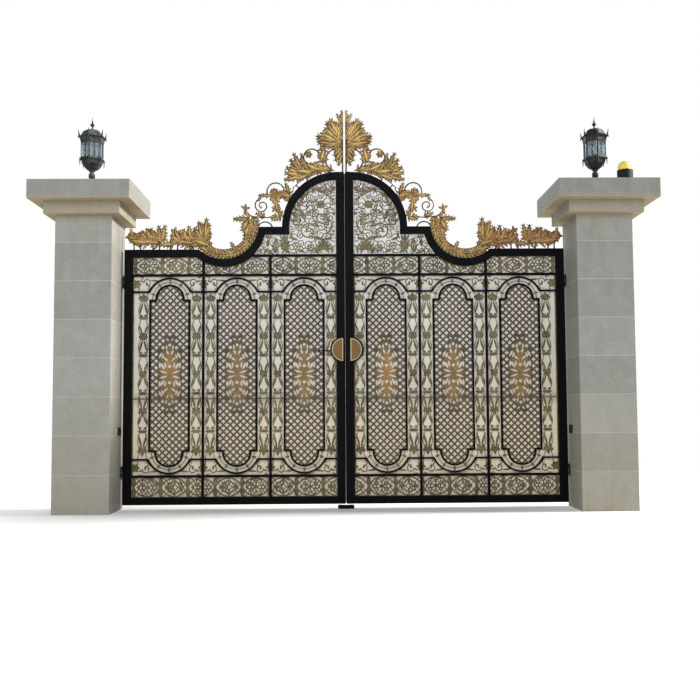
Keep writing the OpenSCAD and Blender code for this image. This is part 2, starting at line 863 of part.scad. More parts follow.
module diamond(half_w, half_h) {
    polygon([[-half_w, 0], [0, -half_h], [half_w, 0], [0, half_h]]);
}

// A band of crossing curves: flowered eyes and nested diamonds in turn.
module frieze_band(z0, z1) {
    half_h = (z1 - z0) / 2;
    for (i = [-1 : ceil(field_u1 / frieze_pitch)]) {
        u = frieze_start + i * frieze_pitch;
        at(u, z0 + half_h, 0) frieze_eye(half_h - 2, i % 2 == 0);
        at(u + frieze_pitch / 2, z0, 90) leaf(half_h * 0.8, half_h * 0.44);
        at(u + frieze_pitch / 2, z1, -90) leaf(half_h * 0.8, half_h * 0.44);
    }
}

module friezes() {
    color(gold) upright(plate_back_y, plate_t) {
        intersection() {
            rect(field_u0 + sheet_fit, field_z0 + sheet_fit, field_u1 - sheet_fit, low_bar_z - joint);
            union() {
                frieze_band(field_z0, low_bar_z - bar_w / 2);
                rect(field_u0, low_bar_z - edge_strip, field_u1, low_bar_z);
                rect(field_u0, field_z0, field_u1, field_z0 + edge_strip / 2);
            }
        }
        intersection() {
            field(sheet_fit);
            rect(field_u0, high_bar_z + joint, field_u1, head_bar_z - joint);
            union() {
                frieze_band(high_bar_z + bar_w / 2, field_z1);
                rect(field_u0, high_bar_z, field_u1, high_bar_z + edge_strip);
                rect(field_u0, head_bar_z - edge_strip, dip_u, head_bar_z);
                at(dip_u, dip_z, 0) ring(dip_r + rail_w, dip_r + rail_w + edge_strip / 2);
                rect(dip_u, field_z1 - edge_strip / 2, field_u1, field_z1);
            }
        }
    }
}

// The large scroll under the quarter circle, drawn from the circle's centre.
module tympanum_head() {
    at(175, 171, 0) arc_strip(140, 168, -196, 10);
    at(136, 194, 0) flower(36, 8);
    at(136, 178, 0) arc_strip(70, 70, -215, 9);
    at(156, 222, -6) leaf(84, 14);
    at(150, 106, 196) leaf(96, 24);
    at(88, 42, 0) scroll(34, 190, -1, 9);
    at(172, 52, 0) arc_strip(133, 178, 58, 9);
    at(96, 112, 0) arc_strip(112, 22, -64, 9);
    at(188, 44, 236) leaf(52, 20);
    at(184, 58, 210) leaf(48, 18);
    at(180, 58, 0) arc_strip(94, 72, -78, 9);
    at(262, 62, 40) leaf(60, 18);
    at(246, 284, -18) leaf(78, 34);
    at(262, 262, 14) leaf(52, 24);
    at(300, 150, 250) leaf(60, 18);
    at(322, 108, 186) leaf(60, 18);
    at(352, 68, 0) scroll(28, 80, 1, 8);
    at(52, 286, 94) leaf(76, 22);
    at(92, 304, 82) leaf(64, 20);
    at(56, 300, 40) leaf(54, 18);
    at(120, 316, 12) leaf(90, 18);
    leafy_arc(sweep_r - rail_w - 30, 4, 30, 7, 4, 42, 14);
}

// The arched scroll, fans and small scrolls over the short bar, from its middle line.
module tympanum_foot() {
    at(302, 204, 0) scroll(76, 150, -1, 10);
    at(340, 262, 0) leaf(94, 16);
    at(178, 56, 90) palmette(96, 26, 7, 30);
    at(178, 138, 12) leaf(104, 26);
    at(178, 138, 172) leaf(78, 22);
    at(110, 20, 100) leaf(66, 20);
    at(130, 20, 60) leaf(50, 16);
    at(232, 20, 82) leaf(60, 20);
    at(286, 62, 0) scroll(36, 200, -1, 9);
    at(330, 24, 30) leaf(66, 18);
    at(404, 74, 0) scroll(40, 20, 1, 9);
    at(386, 130, 20) leaf(80, 20);
    at(440, 150, 80) leaf(50, 18);
    at(498, 86, 0) flower(46, 8);
    at(498, 118, 84) palmette(62, 20, 3, 34);
    at(470, 24, 40) leaf(52, 16);
    at(526, 22, 130) leaf(50, 16);
    at(574, 22, 90) leaf_ring(130, 44, 8);
    at(574, 40, 90) leaf(86, 14);
    at(634, 84, 0) arc_strip(46, 195, 160, 9);
    at(640, 72, 90) leaf(74, 22);
    at(596, 152, 4) leaf(70, 16);
    at(600, 20, 22) leaf(48, 16);
    at(668, 20, 120) leaf(56, 18);
    at(708, 18, 112) leaf(44, 14);
}

module tympanum() {
    color(gold) upright(plate_back_y, plate_t) intersection() {
        field(sheet_fit);
        rect(field_u0, head_bar_z + joint, dip_u, stile_top);
        union() {
            at(sweep_u, step_z, 0) tympanum_head();
            at(0, head_bar_z, 0) tympanum_foot();
            rect(field_u0, head_bar_z, dip_u, head_bar_z + edge_strip);
        }
    }
}

// Plume of acanthus leaves beside the middle line, from the top of the stile.
module plume() {
    rect(8, -4, 22, 420);
    at(12, 402, 87) leaf(140, 32);
    at(12, 420, 58) leaf(102, 28);
    at(12, 290, 66) leaf(168, 40);
    at(12, 268, 60) leaf(232, 56);
    at(14, 258, 51) leaf(234, 52);
    at(14, 250, 41) leaf(214, 48);
    at(14, 244, 28) leaf(212, 54);
    at(14, 240, 18) leaf(244, 58);
    at(14, 236, 7) leaf(228, 54);
    at(20, 246, -7) leaf(190, 42);
    at(12, 230, -50) leaf(122, 44);
    at(12, 200, -58) leaf(128, 42);
    at(12, 168, -70) leaf(122, 34);
}

// Scrolls and leaves between the plume and the side of the quarter circle, from the stile's top.
module shoulder() {
    at(62, 108, 0) arc_strip(94, 74, -150, 13);
    at(165, 216, -76) leaf(140, 54);
    at(272, 134, 0) arc_strip(68, 150, -300, 13);
    at(300, 156, 0) flower(36, 6);
    at(90, 18, 14) leaf(160, 40);
    at(190, 14, 24) leaf(150, 56);
    at(215, 92, -6) leaf(48, 18);
    at(250, 6, 4) leaf(170, 58);
    at(330, 10, 78) leaf(170, 30);
    at(342, 6, 62) leaf(196, 40);
    at(350, 6, 45) leaf(160, 42);
    at(360, -8, 22) leaf(146, 48);
    at(366, -16, 6) leaf(142, 46);
    at(366, -28, -14) leaf(150, 44);
    at(300, -14, -22) leaf(120, 40);
}

// Scrolls, flower and star bud over the step, from the quarter circle's centre.
module step_scrolls() {
    arc_strip(sweep_r + 36, 72, -30, 8);
    for (a = [46, 58, 70]) rotate(a) rect(sweep_r - 4, -6, sweep_r + 36, 6);
    at(392, 322, 0) arc_strip(24, 60, -280, 9);
    at(392, 250, 26) leaf(96, 36);
    at(376, 236, 42) leaf(118, 38);
    at(398, 268, 72) leaf(116, 36);
    at(516, 304, 0) arc_strip(72, 172, -196, 12);
    at(528, 296, 0) flower(42, 8);
    at(446, 268, 14) leaf(74, 26);
    at(530, 268, 2) leaf(132, 32);
    at(630, 182, 0) scroll(64, 80, -1, 11);
    at(636, 278, -68) leaf(66, 24);
    at(520, 280, -98) leaf(172, 34);
    at(462, 84, -12) leaf(96, 34);
    at(500, 104, -20) leaf(66, 28);
    at(610, 472, 0) arc_strip(390, 258, 24, 10);
    at(600, 92, 18) leaf(90, 34);
    at(685, 172, 0) arc_strip(82, 268, 74, 9);
    at(770, 154, 0) star_bud(48);
    at(604, -18, 0) arc_strip(64, 12, 156, 12);
}

module star_bud(r) {
    circle(r * 0.3);
    for (turn = [40, 98, 160, 280]) rotate(turn) leaf(r, r * 0.46);
}

// Wreath of leaves that follows the dip, from the dip's centre.
module wreath() {
    leafy_arc(dip_r - 44, 164, 138, 24, 13, 64, 28);
    at(-222, 52, -2) leaf(152, 40);
    at(-214, 54, 62) leaf(70, 26);
    at(-208, 50, -62) leaf(124, 50);
    at(-216, 30, -76) leaf(170, 52);
    at(-106, -236, 62) leaf(106, 32);
    at(132, -224, 113) leaf(86, 30);
    at(112, -222, 20) leaf(110, 40);
}

// Low sprays on the level rail: a peak, a lower spray and a twin spray towards the pier.
module spray_peak() {
    at(0, 0, 95) leaf(222, 44);
    at(8, 10, 110) leaf(168, 38);
    at(14, 0, 130) leaf(116, 38);
    at(16, 0, 80) leaf(196, 40);
    at(10, 0, 60) leaf(160, 44);
    at(24, 130, 0) flower(36, 6);
    at(-56, -30, 20) leaf(170, 56);
    at(20, 0, -16) leaf(120, 40);
}

module spray_low() {
    at(-50, -10, 10) leaf(220, 66);
    at(-4, 0, 82) leaf(152, 40);
    at(22, 0, 70) leaf(130, 44);
    at(76, 0, 62) leaf(132, 42);
    at(80, 0, 40) leaf(116, 40);
    at(74, 60, 0) flower(38, 8);
    at(130, -8, -4) leaf(130, 42);
}

module spray_twin() {
    at(0, 0, 102) leaf(162, 40);
    at(8, 0, 84) leaf(156, 40);
    at(14, 14, 126) leaf(94, 38);
    at(34, 6, 64) leaf(138, 42);
    at(80, 14, 68) leaf(124, 38);
    at(74, 80, 0) flower(34, 8);
    at(110, 10, 54) leaf(112, 46);
    at(165, 60, 0) flower(38, 6);
    at(230, 4, 78) leaf(126, 34);
    at(204, 24, 28) leaf(90, 42);
    at(4, -4, 10) leaf(170, 56);
    at(94, 0, 8) leaf(176, 56);
    at(150, -2, 16) leaf(116, 44);
}

// Feet that carry the sprays, and the sprays themselves, shared out along the level rail.
module level_sprays() {
    $leaf_steps = 0;
    run = leaf_u1 - level_u0;
    at(level_u0, top_rail_z + 60, 0) spray_peak();
    at(level_u0 + run * 0.175, top_rail_z + 60, 0) spray_low();
    at(level_u0 + run * 0.545, top_rail_z + 60, 0) spray_twin();
    for (share = [0.13, 0.33, 0.42, 0.56, 0.64, 0.8, 0.88]) {
        rect(level_u0 + run * share, top_rail_z - 4, level_u0 + run * share + 13, top_rail_z + 76);
    }
}

// Small gaps between the leaves that keep the masses open.
module crest_gaps() {
    at(18, stile_top + 412, 0) leaf(34, 13);
    at(76, stile_top + 394, 50) leaf(42, 16);
    at(104, stile_top + 231, 10) leaf(56, 15);
    at(52, stile_top + 160, 84) leaf(46, 13);
    at(396, stile_top + 90, 30) leaf(34, 14);
    at(356, stile_top + 44, 12) leaf(62, 18);
    at(level_u0 + 10, top_rail_z + 162, 0) leaf(50, 14);
    at(level_u0 + 78, top_rail_z + 70, 84) leaf(44, 15);
}

module crest_outline() {
    at(0, stile_top, 0) plume();
    at(0, stile_top, 0) shoulder();
    at(sweep_u, step_z, 0) step_scrolls();
    at(dip_u, dip_z, 0) wreath();
    level_sprays();
}

module crest() {
    $leaf_steps = 3;
    color(gold) upright(crest_t / 2, crest_t) difference() {
        crest_outline();
        crest_gaps();
        below_head(sheet_fit);
        rect(-opening_w, 0, leaf_u0 + 3, 2 * stile_top);
    }
}

module backing() {
    color(cream) upright(sheet_back_y, sheet_t) {
        intersection() {
            field(sheet_fit);
            rect(field_u0, field_z0, field_u1, seam_z - 1);
        }
        intersection() {
            field(sheet_fit);
            rect(field_u0, seam_z + 1, field_u1, stile_top);
        }
    }
}

piers_at(0) pier();  // left_pier
piers_at(1) pier();  // right_pier
piers_at(0) pier_neck();  // left_pier_neck
piers_at(1) pier_neck();  // right_pier_neck
piers_at(0) pier_cap();  // left_pier_cap
piers_at(1) pier_cap();  // right_pier_cap
piers_at(0) lantern_base();  // left_lantern_base
piers_at(1) lantern_base();  // right_lantern_base
piers_at(0) lantern_cage();  // left_lantern_cage
piers_at(1) lantern_cage();  // right_lantern_cage
piers_at(0) lantern_glass();  // left_lantern_glass
piers_at(1) lantern_glass();  // right_lantern_glass
piers_at(0) lantern_roof();  // left_lantern_roof
piers_at(1) lantern_roof();  // right_lantern_roof
beacon_base();
beacon_dome();
photocells();
ground_stop();
on_left_leaf() hinge_brackets();  // left_hinge_brackets
on_right_leaf() hinge_brackets();  // right_hinge_brackets
on_left_leaf() hinge_stile();  // left_hinge_stile
on_right_leaf() hinge_stile();  // right_hinge_stile
on_left_leaf() meeting_stile(left_edge);  // left_meeting_stile
on_right_leaf() meeting_stile(right_edge);  // right_meeting_stile
on_left_leaf() bottom_rail();  // left_bottom_rail
on_right_leaf() bottom_rail();  // right_bottom_rail
on_left_leaf() head_rail();  // left_head_rail
on_right_leaf() head_rail();  // right_head_rail
on_left_leaf() brace_rail();  // left_brace_rail
on_right_leaf() brace_rail();  // right_brace_rail
on_left_leaf() bars();  // left_bars
on_right_leaf() bars();  // right_bars
on_left_leaf() lattice(1);  // left_lattice_1
on_right_leaf() lattice(1);  // right_lattice_1
on_left_leaf() lattice(2);  // left_lattice_2
on_right_leaf() lattice(2);  // right_lattice_2
on_left_leaf() lattice(3);  // left_lattice_3
on_right_leaf() lattice(3);  // right_lattice_3
on_left_leaf() surrounds();  // left_surrounds
on_right_leaf() surrounds();  // right_surrounds
on_left_leaf() friezes();  // left_friezes
on_right_leaf() friezes();  // right_friezes
on_left_leaf() tympanum();  // left_tympanum
on_right_leaf() tympanum();  // right_tympanum
on_left_leaf() crest();  // left_crest
on_right_leaf() crest();  // right_crest
on_left_leaf() backing();  // left_backing
on_right_leaf() backing();  // right_backing
on_left_leaf() lock_rosette(left_edge);  // left_lock_rosette
on_right_leaf() lock_rosette(right_edge);  // right_lock_rosette
on_left_leaf() lock_lever();
on_left_leaf() hinge_straps();  // left_hinge_straps
on_right_leaf() hinge_straps();  // right_hinge_straps
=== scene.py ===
import bpy
import bmesh
import json
import random
from math import ceil, copysign, cos, exp, hypot, pi, radians, sin, sqrt
from mathutils import Matrix, Vector


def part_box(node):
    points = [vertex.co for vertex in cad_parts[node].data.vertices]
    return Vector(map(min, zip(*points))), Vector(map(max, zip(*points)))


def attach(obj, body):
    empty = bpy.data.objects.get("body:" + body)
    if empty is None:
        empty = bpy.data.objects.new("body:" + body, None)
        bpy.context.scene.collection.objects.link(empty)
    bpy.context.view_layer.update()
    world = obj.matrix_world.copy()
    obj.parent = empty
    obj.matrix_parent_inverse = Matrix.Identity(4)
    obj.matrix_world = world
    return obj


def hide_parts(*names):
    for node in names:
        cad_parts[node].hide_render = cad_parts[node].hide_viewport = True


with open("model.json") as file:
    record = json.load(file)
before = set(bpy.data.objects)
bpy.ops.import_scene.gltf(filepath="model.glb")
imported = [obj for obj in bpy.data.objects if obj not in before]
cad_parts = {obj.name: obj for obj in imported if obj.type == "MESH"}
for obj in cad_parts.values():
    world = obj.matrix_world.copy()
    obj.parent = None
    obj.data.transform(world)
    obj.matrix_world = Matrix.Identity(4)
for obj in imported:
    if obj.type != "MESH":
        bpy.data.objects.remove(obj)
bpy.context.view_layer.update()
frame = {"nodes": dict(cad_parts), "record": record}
nodes = frame["nodes"]
ways = {"left": -1, "right": 1}  # the way along X from the middle of the gate to each pier

# Sizes are in metres and colours in linear RGB. These places come from the frame: leafY is the plane
# where bars and plates meet. What a user would change is in the dictionaries further down.
gate = {
    "midX": (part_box("left_meeting_stile")[1].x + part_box("right_meeting_stile")[0].x) / 2,
    "leafY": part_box("left_bars")[1].y,
    "stileTop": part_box("left_meeting_stile")[1].z,
    "leafEnd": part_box("right_hinge_stile")[1].x,
}


# Node tools

def put(tree, kind, inputs=None, **settings):
    made = tree.nodes.new(kind)
    for key, value in settings.items():
        setattr(made, key, value)
    for key, value in (inputs or {}).items():
        if isinstance(value, bpy.types.NodeSocket):
            tree.links.new(value, made.inputs[key])
        else:
            made.inputs[key].default_value = value
    return made


def color(rgb):
    return (*rgb, 1.0)


class Finish:
    def __init__(self, name):
        self.material = bpy.data.materials.new(name)
        self.material.use_nodes = True
        self.tree = self.material.node_tree
        self.tree.nodes.clear()
        self.shader = put(self.tree, "ShaderNodeBsdfPrincipled")
        put(self.tree, "ShaderNodeOutputMaterial", {"Surface": self.shader.outputs[0]})
        self.place = put(self.tree, "ShaderNodeTexCoord").outputs["Object"]

    def stretched(self, scale, shift=(0, 0, 0)):
        inputs = {"Vector": self.place, "Scale": scale, "Location": shift}
        return put(self.tree, "ShaderNodeMapping", inputs).outputs[0]

    def noise(self, scale, detail=4.0, roughness=0.55, vector=None, distortion=0.0):
        return put(self.tree, "ShaderNodeTexNoise", {
            "Vector": vector or self.place, "Scale": scale, "Detail": detail,
            "Roughness": roughness, "Distortion": distortion}).outputs["Fac"]

    def cells(self, scale, vector=None, **settings):
        inputs = {"Vector": vector or self.place, "Scale": scale}
        return put(self.tree, "ShaderNodeTexVoronoi", inputs, **settings).outputs["Distance"]

    def attribute(self, name):
        return put(self.tree, "ShaderNodeAttribute", attribute_name=name).outputs["Fac"]

    def math(self, operation, a, b=0.0, clamp=False):
        settings = {"operation": operation, "use_clamp": clamp}
        return put(self.tree, "ShaderNodeMath", {0: a, 1: b}, **settings).outputs[0]

    def times(self, a, b, clamp=False):
        return self.math("MULTIPLY", a, b, clamp)

    def plus(self, a, b):
        return self.math("ADD", a, b)

    def minus(self, a, b):
        return self.math("SUBTRACT", a, b)

    def span(self, value, low, high, newLow=0.0, newHigh=1.0):
        inputs = {"Value": value, "From Min": low, "From Max": high, "To Min": newLow, "To Max": newHigh}
        return put(self.tree, "ShaderNodeMapRange", inputs).outputs[0]

    def axis(self, name, vector=None):
        return put(self.tree, "ShaderNodeSeparateXYZ", {0: vector or self.place}).outputs[name]

    def upward(self):
        normal = put(self.tree, "ShaderNodeNewGeometry").outputs["Normal"]
        return self.axis("Z", normal)

    def mix(self, share, a, b, blend="MIX"):
        made = put(self.tree, "ShaderNodeMix", data_type="RGBA", blend_type=blend)
        for index, value in ((0, share), (6, a), (7, b)):
            if isinstance(value, bpy.types.NodeSocket):
                self.tree.links.new(value, made.inputs[index])
            else:
                made.inputs[index].default_value = color(value) if isinstance(value, tuple) else value
        return made.outputs[2]

    def ramp(self, value, stops):
        made = put(self.tree, "ShaderNodeValToRGB", {0: value})
        elements = made.color_ramp.elements
        while len(elements) < len(stops):
            elements.new(0.5)
        for element, (position, rgb) in zip(elements, stops):
            element.position = position
            element.color = color(rgb)
        return made.outputs[0]

    def bump(self, height, distance, normal=None):
        inputs = {"Height": height, "Distance": distance, "Strength": 1.0}
        if normal is not None:
            inputs["Normal"] = normal
        return put(self.tree, "ShaderNodeBump", inputs).outputs[0]

    def set(self, **values):
        names = {
            "base": "Base Color", "metallic": "Metallic", "roughness": "Roughness", "normal": "Normal",
            "transmission": "Transmission Weight", "ior": "IOR", "specular": "Specular IOR Level",
            "coat": "Coat Weight", "coatRoughness": "Coat Roughness"}
        for key, value in values.items():
            socket = self.shader.inputs[names[key]]
            if isinstance(value, bpy.types.NodeSocket):
                self.tree.links.new(value, socket)
            else:
                socket.default_value = color(value) if isinstance(value, tuple) else value
        return self.material


# Finishes

stone = {
    "dark": (0.215, 0.208, 0.185), "light": (0.3, 0.295, 0.268), "stain": (0.14, 0.112, 0.072),
    "warm": (0.34, 0.285, 0.17), "soffitBounce": (0.36, 0.27, 0.14), "mortar": (0.4, 0.385, 0.345),
    "pitch": 0.306, "jointWidth": 0.006, "jointDepth": 0.0015,
    "arris": 0.0025, "slabArris": 0.005,
    "splashTop": 0.3, "dripSpan": (1.5, 2.36), "warmTop": 1.1,
    "neckLow": (2.3, 2.37), "neckHigh": (2.5, 2.45),
}


def stoneFinish():
    f = Finish("limestone")
    tone = f.attribute("stoneTone")
    grain = f.noise(170, 5, 0.7)
    mottle = f.noise(11, 6, 0.62, distortion=0.4)
    shade = f.plus(f.times(mottle, 0.55), f.times(f.noise(1.9, 3), 0.25))
    shade = f.plus(shade, f.times(tone, 0.22))
    base = f.ramp(shade, [(0.28, stone["dark"]), (0.66, stone["light"])])
    specks = f.span(grain, 0.35, 0.7, 0.84, 1.1)
    gray = put(f.tree, "ShaderNodeCombineColor", {0: specks, 1: specks, 2: specks}).outputs[0]
    base = f.mix(1.0, base, gray, "MULTIPLY")
    fossils = f.span(f.cells(46, f.stretched((1, 1, 1.6))), 0.1, 0.02)
    base = f.mix(f.times(fossils, 0.35), base, stone["stain"])
    # Rain streaks at the foot and below the cap
    height = f.axis("Z")
    splash, drips = f.span(height, stone["splashTop"], 0.0), f.span(height, *stone["dripSpan"])
    reach = f.plus(f.times(splash, 0.8), f.times(drips, 0.45))
    streaks = f.noise(7, 5, 0.6, f.stretched((3, 3, 0.22)))
    dirt = f.times(reach, f.span(streaks, 0.42, 0.72), clamp=True)
    base = f.mix(f.times(dirt, 0.6), base, stone["stain"])
    # Painted warm bounce light on the neck and under the slabs, and warmer towards the ground
    neck = f.times(f.span(height, *stone["neckLow"]), f.span(height, *stone["neckHigh"]))
    base = f.mix(f.times(neck, 0.42), base, stone["warm"])
    base = f.mix(f.span(height, stone["warmTop"], 0.0, 0.0, 0.3), base, stone["warm"])
    # Painted warm bounce light on faces that turn downwards
    soffitBounce = f.span(f.upward(), -0.5, -0.9)
    base = f.mix(f.times(soffitBounce, 0.55), base, stone["soffitBounce"])
    normal = f.bump(mottle, 0.0012)
    normal = f.bump(grain, 0.0005, normal)
    normal = f.bump(f.minus(1.0, fossils), 0.0006, normal)
    rough = f.span(grain, 0.3, 0.7, 0.72, 0.92)
    return f.set(base=base, roughness=rough, normal=normal, specular=0.35)


def faded(rgb, share):
    return tuple(share * c for c in rgb)


def mortarFinish():
    f = Finish("mortar")
    base = f.mix(f.noise(5, 3), stone["mortar"], faded(stone["mortar"], 0.8))
    return f.set(base=base, roughness=0.95, normal=f.bump(f.noise(260, 4, 0.8), 0.0008), specular=0.2)


paint = {
    "color": (0.0022, 0.0022, 0.0028), "dust": (0.13, 0.12, 0.1), "rust": (0.075, 0.03, 0.014),
    "roughness": 0.5, "specular": 0.05, "arris": 0.0022,
}


def paintFinish():
    f = Finish("blackPaint")
    brush = f.noise(22, 4, 0.6, f.stretched((1, 1, 0.35)))
    dust = f.times(f.span(f.upward(), 0.55, 0.98), f.span(f.noise(16, 5, 0.65), 0.35, 0.75))
    base = f.mix(f.times(dust, 0.5), paint["color"], paint["dust"])
    specks = f.times(f.span(f.noise(85, 5, 0.75), 0.6, 0.72), f.span(f.axis("Z"), 0.22, 0.03))
    base = f.mix(f.times(specks, 0.8), base, paint["rust"])
    rough = f.span(brush, 0.3, 0.75, paint["roughness"] - 0.06, paint["roughness"] + 0.12)
    rough = f.plus(rough, f.times(dust, 0.3))
    normal = f.bump(f.noise(330, 3, 0.5), 0.00012, f.bump(brush, 0.0006))
    return f.set(base=base, roughness=rough, normal=normal, specular=paint["specular"])


plates = {
    "shadow": (0.024, 0.015, 0.008), "body": (0.1, 0.077, 0.03), "light": (0.25, 0.2, 0.078),
    "strip": (0.1, 0.074, 0.05), "medallion": (0.32, 0.165, 0.05), "dust": (0.3, 0.27, 0.21),
    "medallionHalfX": 0.095, "medallionHalfZ": 0.29, "arris": 0.0009,
}


# With a middle, as on the lattices, the gold is brighter on the medallion there than on the strips.
def plateFinish(name="antiqueGold", middle=None):
    f = Finish(name)
    cast = f.noise(60, 6, 0.7, distortion=0.6)
    broad = f.noise(4.5, 4, 0.6)
    rubbed = f.plus(f.times(cast, 0.62), f.times(broad, 0.38))
    base = f.ramp(rubbed, [(0.36, plates["shadow"]), (0.5, plates["body"]), (0.68, plates["light"])])
    if middle:
        across = f.times(f.minus(f.axis("X"), middle.x), 1 / plates["medallionHalfX"])
        along = f.times(f.minus(f.axis("Z"), middle.z), 1 / plates["medallionHalfZ"])
        reach = f.math("SQRT", f.plus(f.times(across, across), f.times(along, along)))
        strip = f.ramp(rubbed, [(0.36, plates["shadow"]), (0.66, plates["strip"])])
        field = f.mix(f.span(f.axis("Z"), 1.0, 0.5, 0.0, 0.4), strip, plates["body"])
        center = f.mix(f.span(rubbed, 0.4, 0.62), plates["body"], plates["medallion"])
        base = f.mix(f.span(f.plus(reach, f.times(broad, 0.5)), 1.3, 0.75), field, center)
    base = f.mix(f.span(f.upward(), 0.5, 0.95, 0.0, 0.4), base, plates["dust"])
    normal = f.bump(f.cells(150, feature="SMOOTH_F1"), 0.0004, f.bump(cast, 0.0011))
    return f.set(base=base, metallic=0.3, roughness=f.span(cast, 0.35, 0.7, 0.62, 0.42), normal=normal)


leafGold = {
    "recessShade": (0.028, 0.013, 0.005), "rust": (0.085, 0.04, 0.012), "gold": (0.21, 0.125, 0.034),
    "glint": (0.42, 0.27, 0.085), "bud": (0.17, 0.05, 0.022), "stem": (0.035, 0.028, 0.02),
    "redFrom": 1.1, "redFull": 1.3, "arris": 0.0012,
}


# The attribute bud is 0 on leaves, up to 1 on flowers and -1 on stems.
def leafFinish():
    f = Finish("leafGold")
    relief, bud, tone = (f.attribute(name) for name in ("relief", "bud", "leafTone"))
    patina = f.noise(17, 5, 0.62, distortion=0.5)
    # The per-point attribute read here is painted light: painted shade at leaf rims, leaf backs and the
    # rear of rods, and painted highlight (glint) on ribs, domes and the fronts of rods
    level = f.plus(relief, f.times(f.minus(patina, 0.5), 0.95))
    level = f.plus(level, f.times(f.minus(tone, 0.5), 0.3))
    stops = ((0.1, "recessShade"), (0.38, "rust"), (0.62, "gold"), (0.98, "glint"))
    base = f.ramp(level, [(place, leafGold[key]) for place, key in stops])
    away = f.minus(f.axis("X"), gate["midX"])
    ends = f.times(f.span(away, leafGold["redFrom"], leafGold["redFull"]), f.span(patina, 0.42, 0.56))
    base = f.mix(f.times(ends, 0.6), base, leafGold["bud"])
    flowers = f.times(f.span(bud, 0.0, 1.0), f.span(relief, 0.2, 0.7, 0.9, 0.6))
    base = f.mix(flowers, base, leafGold["bud"])
    stems = f.times(f.span(bud, -0.4, -0.9), f.span(patina, 0.68, 0.5, 0.25, 1.0))
    base = f.mix(stems, base, leafGold["stem"])
    normal = f.bump(patina, 0.0015, f.bump(f.noise(120, 5, 0.65), 0.0009))
    metal = f.span(level, 0.1, 0.6, 0.1, 0.35)
    rough = f.span(level, 0.2, 0.9, 0.66, 0.42)
    return f.set(base=base, metallic=metal, roughness=rough, normal=normal)


wireGold = {"low": (0.03, 0.022, 0.014), "high": (0.11, 0.085, 0.045)}


def wireFinish():
    f = Finish("scrollWire")
    patina = f.noise(35, 5, 0.65)
    base = f.ramp(patina, [(0.42, wireGold["low"]), (0.64, wireGold["high"])])
    rough = f.span(patina, 0.3, 0.7, 0.7, 0.5)
    return f.set(base=base, metallic=0.2, roughness=rough, normal=f.bump(f.noise(210, 3), 0.0003))


sheet = {
    "clean": (0.56, 0.515, 0.435), "aged": (0.46, 0.405, 0.32), "stain": (0.27, 0.215, 0.15),
    "cool": (0.6, 0.585, 0.57), "warm": (0.6, 0.515, 0.38), "seamShadow": (0.1, 0.07, 0.045),
    "skyLightSpan": (1.0, 2.2), "warmSpan": (1.0, 0.7), "grimeSpan": (0.6, 0.05),
    "seamZ": 0.905, "seamSoftShadow": (0.06, 0.006), "seamLine": (0.008, 0.005),
}


def sheetFinish():
    f = Finish("creamSheet")
    rain = f.noise(9, 5, 0.65, f.stretched((2.2, 1, 0.16)))
    worn = f.plus(f.times(f.noise(2.3, 5, 0.6), 0.6), f.times(rain, 0.4))
    base = f.ramp(worn, [(0.38, sheet["aged"]), (0.6, sheet["clean"])])
    height = f.axis("Z")
    # Painted sky light shining through the upper part of the sheet, and warmer towards the bottom
    base = f.mix(f.span(height, *sheet["skyLightSpan"], 0.0, 0.7), base, sheet["cool"])
    base = f.mix(f.span(height, *sheet["warmSpan"], 0.0, 0.85), base, sheet["warm"])
    # Painted shadow of the brace rail behind the sheet: a soft band round the seam, and a dark line over
    # the joint that is partly the real joint and partly painted shadow
    away = f.math("ABSOLUTE", f.minus(height, sheet["seamZ"]))
    base = f.mix(f.span(away, *sheet["seamSoftShadow"], 0.0, 0.4), base, sheet["seamShadow"])
    base = f.mix(f.span(away, *sheet["seamLine"], 0.0, 0.9), base, sheet["seamShadow"])
    low = f.plus(f.times(f.span(height, *sheet["grimeSpan"]), 0.6), 0.25)
    grime = f.times(f.span(rain, 0.5, 0.75), low, clamp=True)
    base = f.mix(grime, base, sheet["stain"])
    normal = f.bump(f.noise(300, 3), 0.0001, f.bump(f.noise(1.6, 2), 0.004))
    return f.set(base=base, roughness=f.span(rain, 0.3, 0.7, 0.42, 0.62), normal=normal)


lockGold = {
    "plate": (0.11, 0.06, 0.012), "rim": (0.33, 0.25, 0.14), "brush": (0.17, 0.105, 0.03),
    "stepFront": 0.042,  # the step between rim and plate lies this far in front of leafY
}


# The plate in the middle stands in front of the rim round it, and is darker.
def lockFinish():
    f = Finish("lockGold")
    step = gate["leafY"] - lockGold["stepFront"]
    inside = f.span(f.axis("Y"), step + 0.0005, step - 0.0005)
    brushed = f.noise(40, 4, 0.6, f.stretched((1, 1, 9)))
    base = f.mix(inside, lockGold["rim"], lockGold["plate"])
    base = f.mix(f.span(brushed, 0.35, 0.7, 0.0, 0.35), base, lockGold["brush"])
    rough = f.span(brushed, 0.3, 0.7, 0.36, 0.54)
    return f.set(base=base, metallic=0.55, roughness=rough, normal=f.bump(brushed, 0.0003))


lantern = {
    "bronze": (0.012, 0.013, 0.013), "wear": (0.075, 0.05, 0.028), "verdigris": (0.105, 0.135, 0.115),
    "glass": (0.44, 0.52, 0.57), "arris": 0.0007, "paneArris": 0.0003,
    "candle": (0.75, 0.68, 0.52), "candles": 3, "candleCircle": 0.03,
    "candleRadius": 0.011, "candleHeight": 0.085,
}


